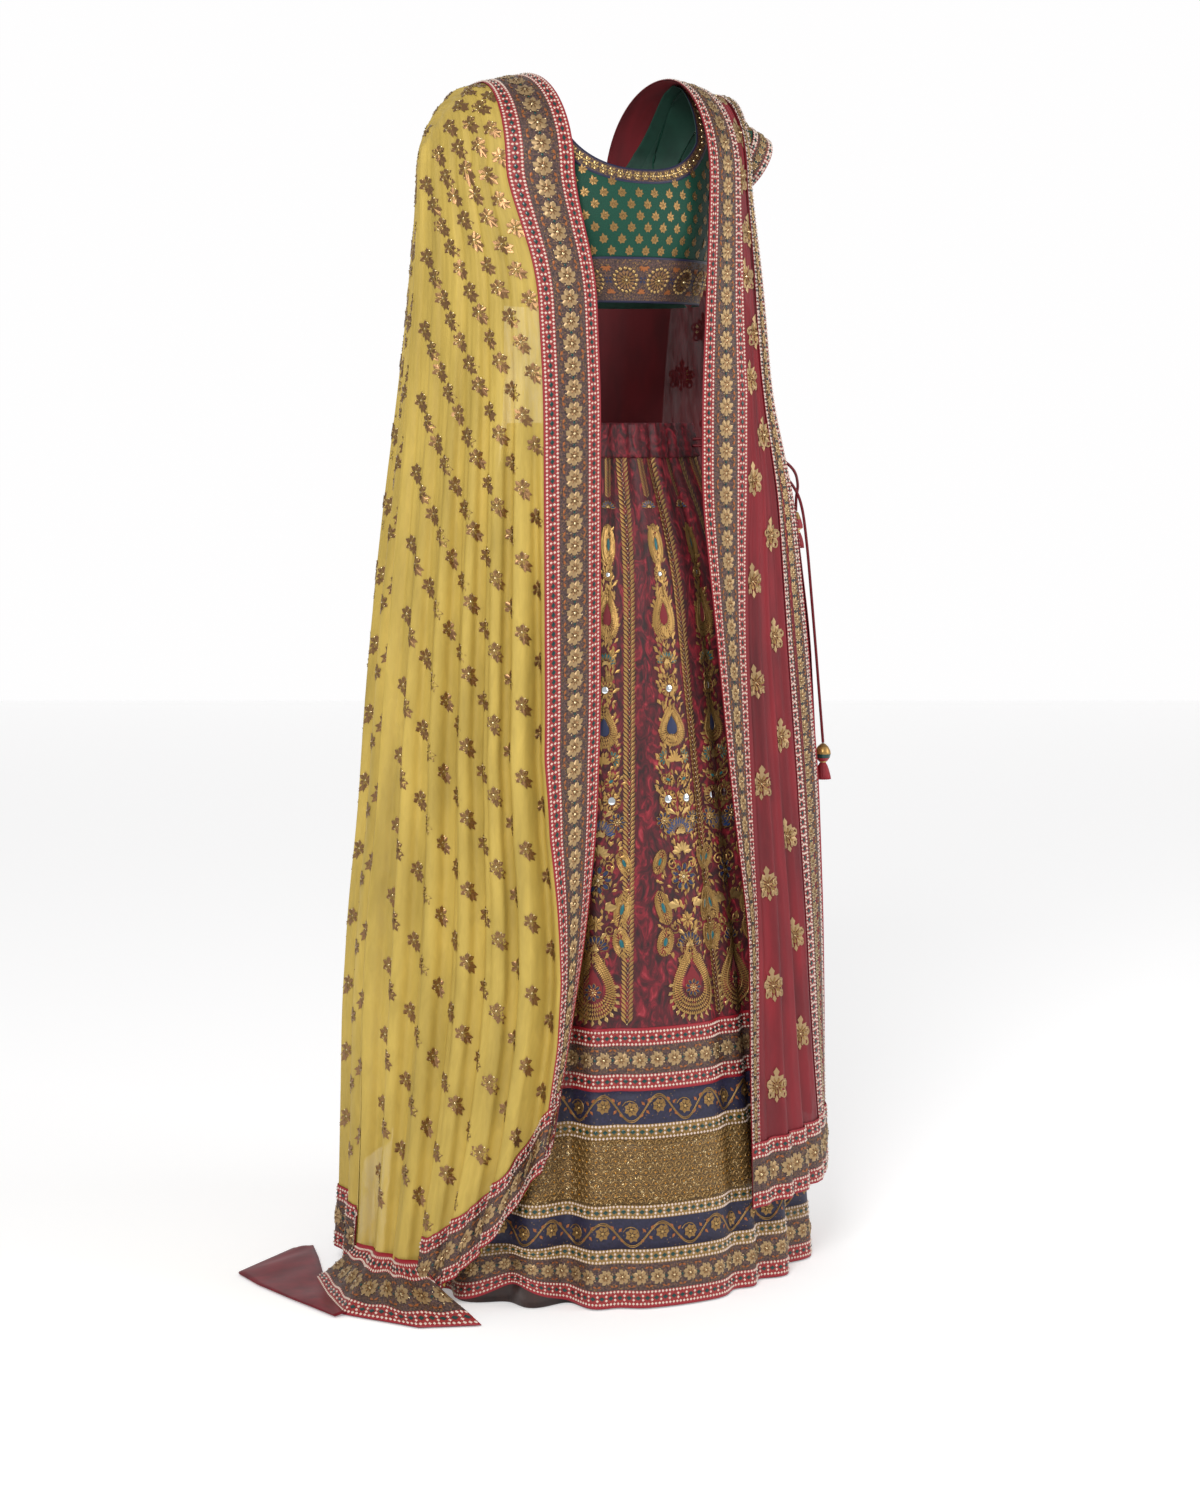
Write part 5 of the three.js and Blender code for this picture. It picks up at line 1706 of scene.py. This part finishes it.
def palmette():
    """Crest of curled leaves round a small flower."""
    curls = [moved(stroke(spiral(6.0, 1.2, 90 + side * 60, hand=side), 2.4, 1.7), side * x, y)
             for side in (-1, 1) for x, y in ((12, -2), (9, 11))]
    return {
        "gold_pale": joined(
            wreath(petal(11, 6.6, 1.5, 5.0), 11, 270 - 150, 300),
            turned(petal(14, 8, 1.7, 9), -90),
            moved(turned(petal(10, 5, 1.5), 90), 0, 10),
            *curls,
        ),
        "zari": wreath(petal(7.5, 4.4, 1.9, 3.0), 9, 10),
        "copper": wreath(petal(4.6, 3.2, 2.4, 0.6), 7),
        "pearl_gold": dome(1.7, 3.2),
    }


def strewn(name, motif, stretches):
    needle = Needlework()
    for dupatta, places in stretches:
        for kind, part in motif.items():
            needle.on_cloth(dupatta.cloth, kind, part, places, 0.3)
    return needle.build(name)


# First and last station, stations across, millimetres down, slope and start of each sowing
gold_butis = strewn("gold_dupatta_butis", gold_buti(), (
    (gold_front, scattered(gold_front, 0.30, 0.98, 0.115, 84, 70, 52)),
    (gold_back, scattered(gold_back, 0.30, 0.98, 0.105, 84, 70, 60)),
))
maroon_motifs = strewn("maroon_dupatta_motifs", palmette(), (
    (maroon_front, scattered(maroon_front, 0.37, 0.64, 0.44, 122, 0, 44)),
    (maroon_back, scattered(maroon_back, 0.35, 0.82, 0.30, 122, 0, 60)),
))


# The golden dupatta's end on the floor
FLOOR_BORDER_TOP = 54.0
FLOOR_REST = 2.6
FLOOR_RIPPLE = 4.5
CORNER_REST = 3.6


def floor_cloth(lines):
    s = np.linspace(FLOOR_END[0, 0], 1, 90)
    inner = fall_points(GOLD_FRONT, s, FLOOR_BORDER_TOP + 0 * s, -1) * (1.012, 1.012, 1)
    outer = np.stack([np.interp(s, FLOOR_END[:, 0], FLOOR_END[:, k]) for k in (1, 2)] + [1.5 + 0 * s], -1)
    share = (lines / lines[-1])[:, None, None]
    points = lerp(inner[None], outer[None], share)
    share = share[..., 0]
    ripple = FLOOR_RIPPLE * (0.5 + 0.5 * np.sin(s * 95 + 4.2 * share))
    points[..., 2] = lerp(inner[:, 2], FLOOR_REST, share**0.7) + ripple * np.sin(np.pi * share)
    return Cloth(points, lies_flat=True)


floor_trim = dressed_band("gold_floor_trim", floor_cloth, DUPATTA_STRIPS, BORDER_WIDTH, "flower_border",
                          "dupatta_gold_floor_end")


def corner_cloth():
    share = np.linspace(0, 1, 12)[:, None]
    at = np.linspace(0, 4, 50)
    inner, outer = (
        np.stack([np.interp(at, np.arange(5), line) for line in np.array(edge, float).T], -1)
        for edge in (CORNER_INNER, CORNER_OUTER))
    flat = lerp(inner[None], outer[None], share[..., None])
    wave = 1.2 * np.sin(at * 2.6)[None, :] + 0.8 * np.sin(at * 6 + 5 * share)
    height = CORNER_REST + (wave + 1.2) * np.sin(np.pi * share)
    return Cloth(np.concatenate([flat, height[..., None]], -1), lies_flat=True)


corner = cloth_piece("gold_turned_corner", corner_cloth(), 1.2, "maroon_silk", "maroon_silk",
                     "border_backing", "dupatta_gold_corner")


# Drawstring ends and tassels
PLACES_PER_SPAN = 10
TASSEL_COLUMNS = 72
TASSEL_THREADS = 24
THREAD_DEPTH = 0.1
TASSEL_WALL = 0.5


def smooth_path(points):
    """Points of a smooth line through the given ones."""
    points = np.array(points, float)
    padded = np.vstack([2 * points[0] - points[1], points, 2 * points[-1] - points[-2]])
    line = []
    for a, b, c, d in zip(padded, padded[1:], padded[2:], padded[3:]):
        for t in np.arange(PLACES_PER_SPAN) / PLACES_PER_SPAN:
            line.append(0.5 * (2 * b + (c - a) * t + (2 * a - 5 * b + 4 * c - d) * t**2
                               + (3 * b - a - 3 * c + d) * t**3))
    return np.vstack([line, points[-1]])


def cord_curve(name, path):
    data = bpy.data.curves.new(name, "CURVE")
    data.dimensions = "3D"
    data.bevel_depth = CORD_DIAMETER / 2 * METRES
    data.bevel_resolution = 3
    data.use_fill_caps = True
    spline = data.splines.new("POLY")
    spline.points.add(len(path) - 1)
    for point, place in zip(spline.points, path):
        point.co = (*place, 1)
    data.materials.append(MATERIALS["maroon_silk"])
    made = add_object(name, data)
    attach(made, "root")
    return made


def add_tassel(name, centre, profile, kinds, node):
    """Round tassel: a profile of radius and drop, with its surface drawn into threads."""
    profile = np.array(profile, float)
    angle = np.arange(TASSEL_COLUMNS) * 2 * np.pi / TASSEL_COLUMNS
    radius = profile[:, :1] * (1 + THREAD_DEPTH * profile[:, 2:3] * np.cos(TASSEL_THREADS * angle)[None, :])
    points = np.stack([centre[0] + radius * np.cos(angle), centre[1] + radius * np.sin(angle),
                       centre[2] - profile[:, 1:2] + 0 * radius], -1)
    grounds, numbers = ground_list(kinds)
    made = wall_object(name, Cloth(points, closed=True), TASSEL_WALL, grounds, MATERIALS[kinds[-1]],
                       row_kinds=numbers)
    return finished(made, "drawstring_silk", node)


# Radius, drop below the cord's end, and how much the threads show
CONE_TASSEL = (
    (0.6, 0.4, 0), (3.2, 1.5, 0), (4.6, 5, 0), (6.6, 10, 0), (8.6, 17, 0), (9, 21, 0), (4.2, 24, 0.5),
    (5.5, 27, 1), (7.6, 33, 1), (9.2, 40, 1), (9.8, 46, 1),
)
CONE_KINDS = ("gold", "gold", "zari", "piping", "piping", "gold", "gold", "piping", "piping", "piping")
BALL_TASSEL = (
    (0.6, 0.4, 0), (3.0, 1.5, 0), (6.8, 5, 0), (9.4, 10, 0), (10, 14, 0), (8.8, 19, 0), (5.8, 23, 0),
    (3.4, 25, 0.5), (5.4, 29, 1), (7.6, 36, 1), (9.2, 43, 1), (9.6, 46, 1),
)
BALL_KINDS = ("gold", "zari", "gold_thread", "gold_thread", "stone", "piping", "gold", "piping", "piping",
              "piping", "piping")
TASSELS = {"upper": (CONE_TASSEL, CONE_KINDS), "lower": (BALL_TASSEL, BALL_KINDS)}
for name, points in CORDS.items():
    path = to_row(smooth_path(points))
    line = finished(cord_curve(f"drawstring_cord_{name}", path), "drawstring_silk", f"drawstring_{name}")
    tassel = add_tassel(f"tassel_{name}", points[-1], *TASSELS[name], f"latkan_{name}")

# Floor and light
FLOOR_SIZE = 16.0
FLOOR_PLACE = (0, 2.5, -SHOULDER_HEIGHT * METRES)
BACKDROP_DISTANCE = 7.0
WORLD_STRENGTH = 0.5


def glowing_white(name, albedo, strength):
    material = plain_material(name, (albedo, albedo, albedo), 0.9, specular=0.0)
    shader = material.node_tree.nodes["Principled BSDF"]
    shader.inputs["Emission Color"].default_value = (1, 0.995, 0.997, 1)
    shader.inputs["Emission Strength"].default_value = strength
    return material


def add_plane(name, place, turn, material):
    bpy.ops.mesh.primitive_plane_add(size=FLOOR_SIZE, location=place, rotation=turn)
    plane = bpy.context.object
    plane.name = name
    plane.data.materials.append(material)


def add_studio():
    ahead = Vector((-math.sin(VIEW_AZIMUTH), math.cos(VIEW_AZIMUTH), 0))
    upright = (math.pi / 2, 0, VIEW_AZIMUTH)
    add_plane("floor", FLOOR_PLACE, (0, 0, 0), glowing_white("pale_floor", 0.85, 0.30))
    add_plane("backdrop", ahead * BACKDROP_DISTANCE, upright, glowing_white("backdrop", 0.02, 0.98))


def add_area_light(name, place, target, size, power):
    data = bpy.data.lights.new(name, "AREA")
    data.shape = "SQUARE"
    data.size = size
    data.energy = power
    light = add_object(name, data)
    light.location = place
    light.rotation_euler = (Vector(place) - Vector(target)).to_track_quat("Z", "Y").to_euler()


def add_world():
    world = bpy.data.worlds.new("studio")
    world.use_nodes = True
    background = world.node_tree.nodes["Background"]
    background.inputs["Color"].default_value = (1, 1, 1, 1)
    background.inputs["Strength"].default_value = WORLD_STRENGTH
    bpy.context.scene.world = world


# Name, place, target, size and power of each light
LIGHTS = (
    ("key_light", (-2.6, -3.2, 1.8), (0, 0, -0.7), 1.4, 120),
    ("fill_light", (2.8, -2.4, 0.4), (0, 0, -0.8), 2.0, 45),
)
add_studio()
add_world()
for light in LIGHTS:
    add_area_light(*light)
bpy.context.scene.view_settings.view_transform = "Standard"
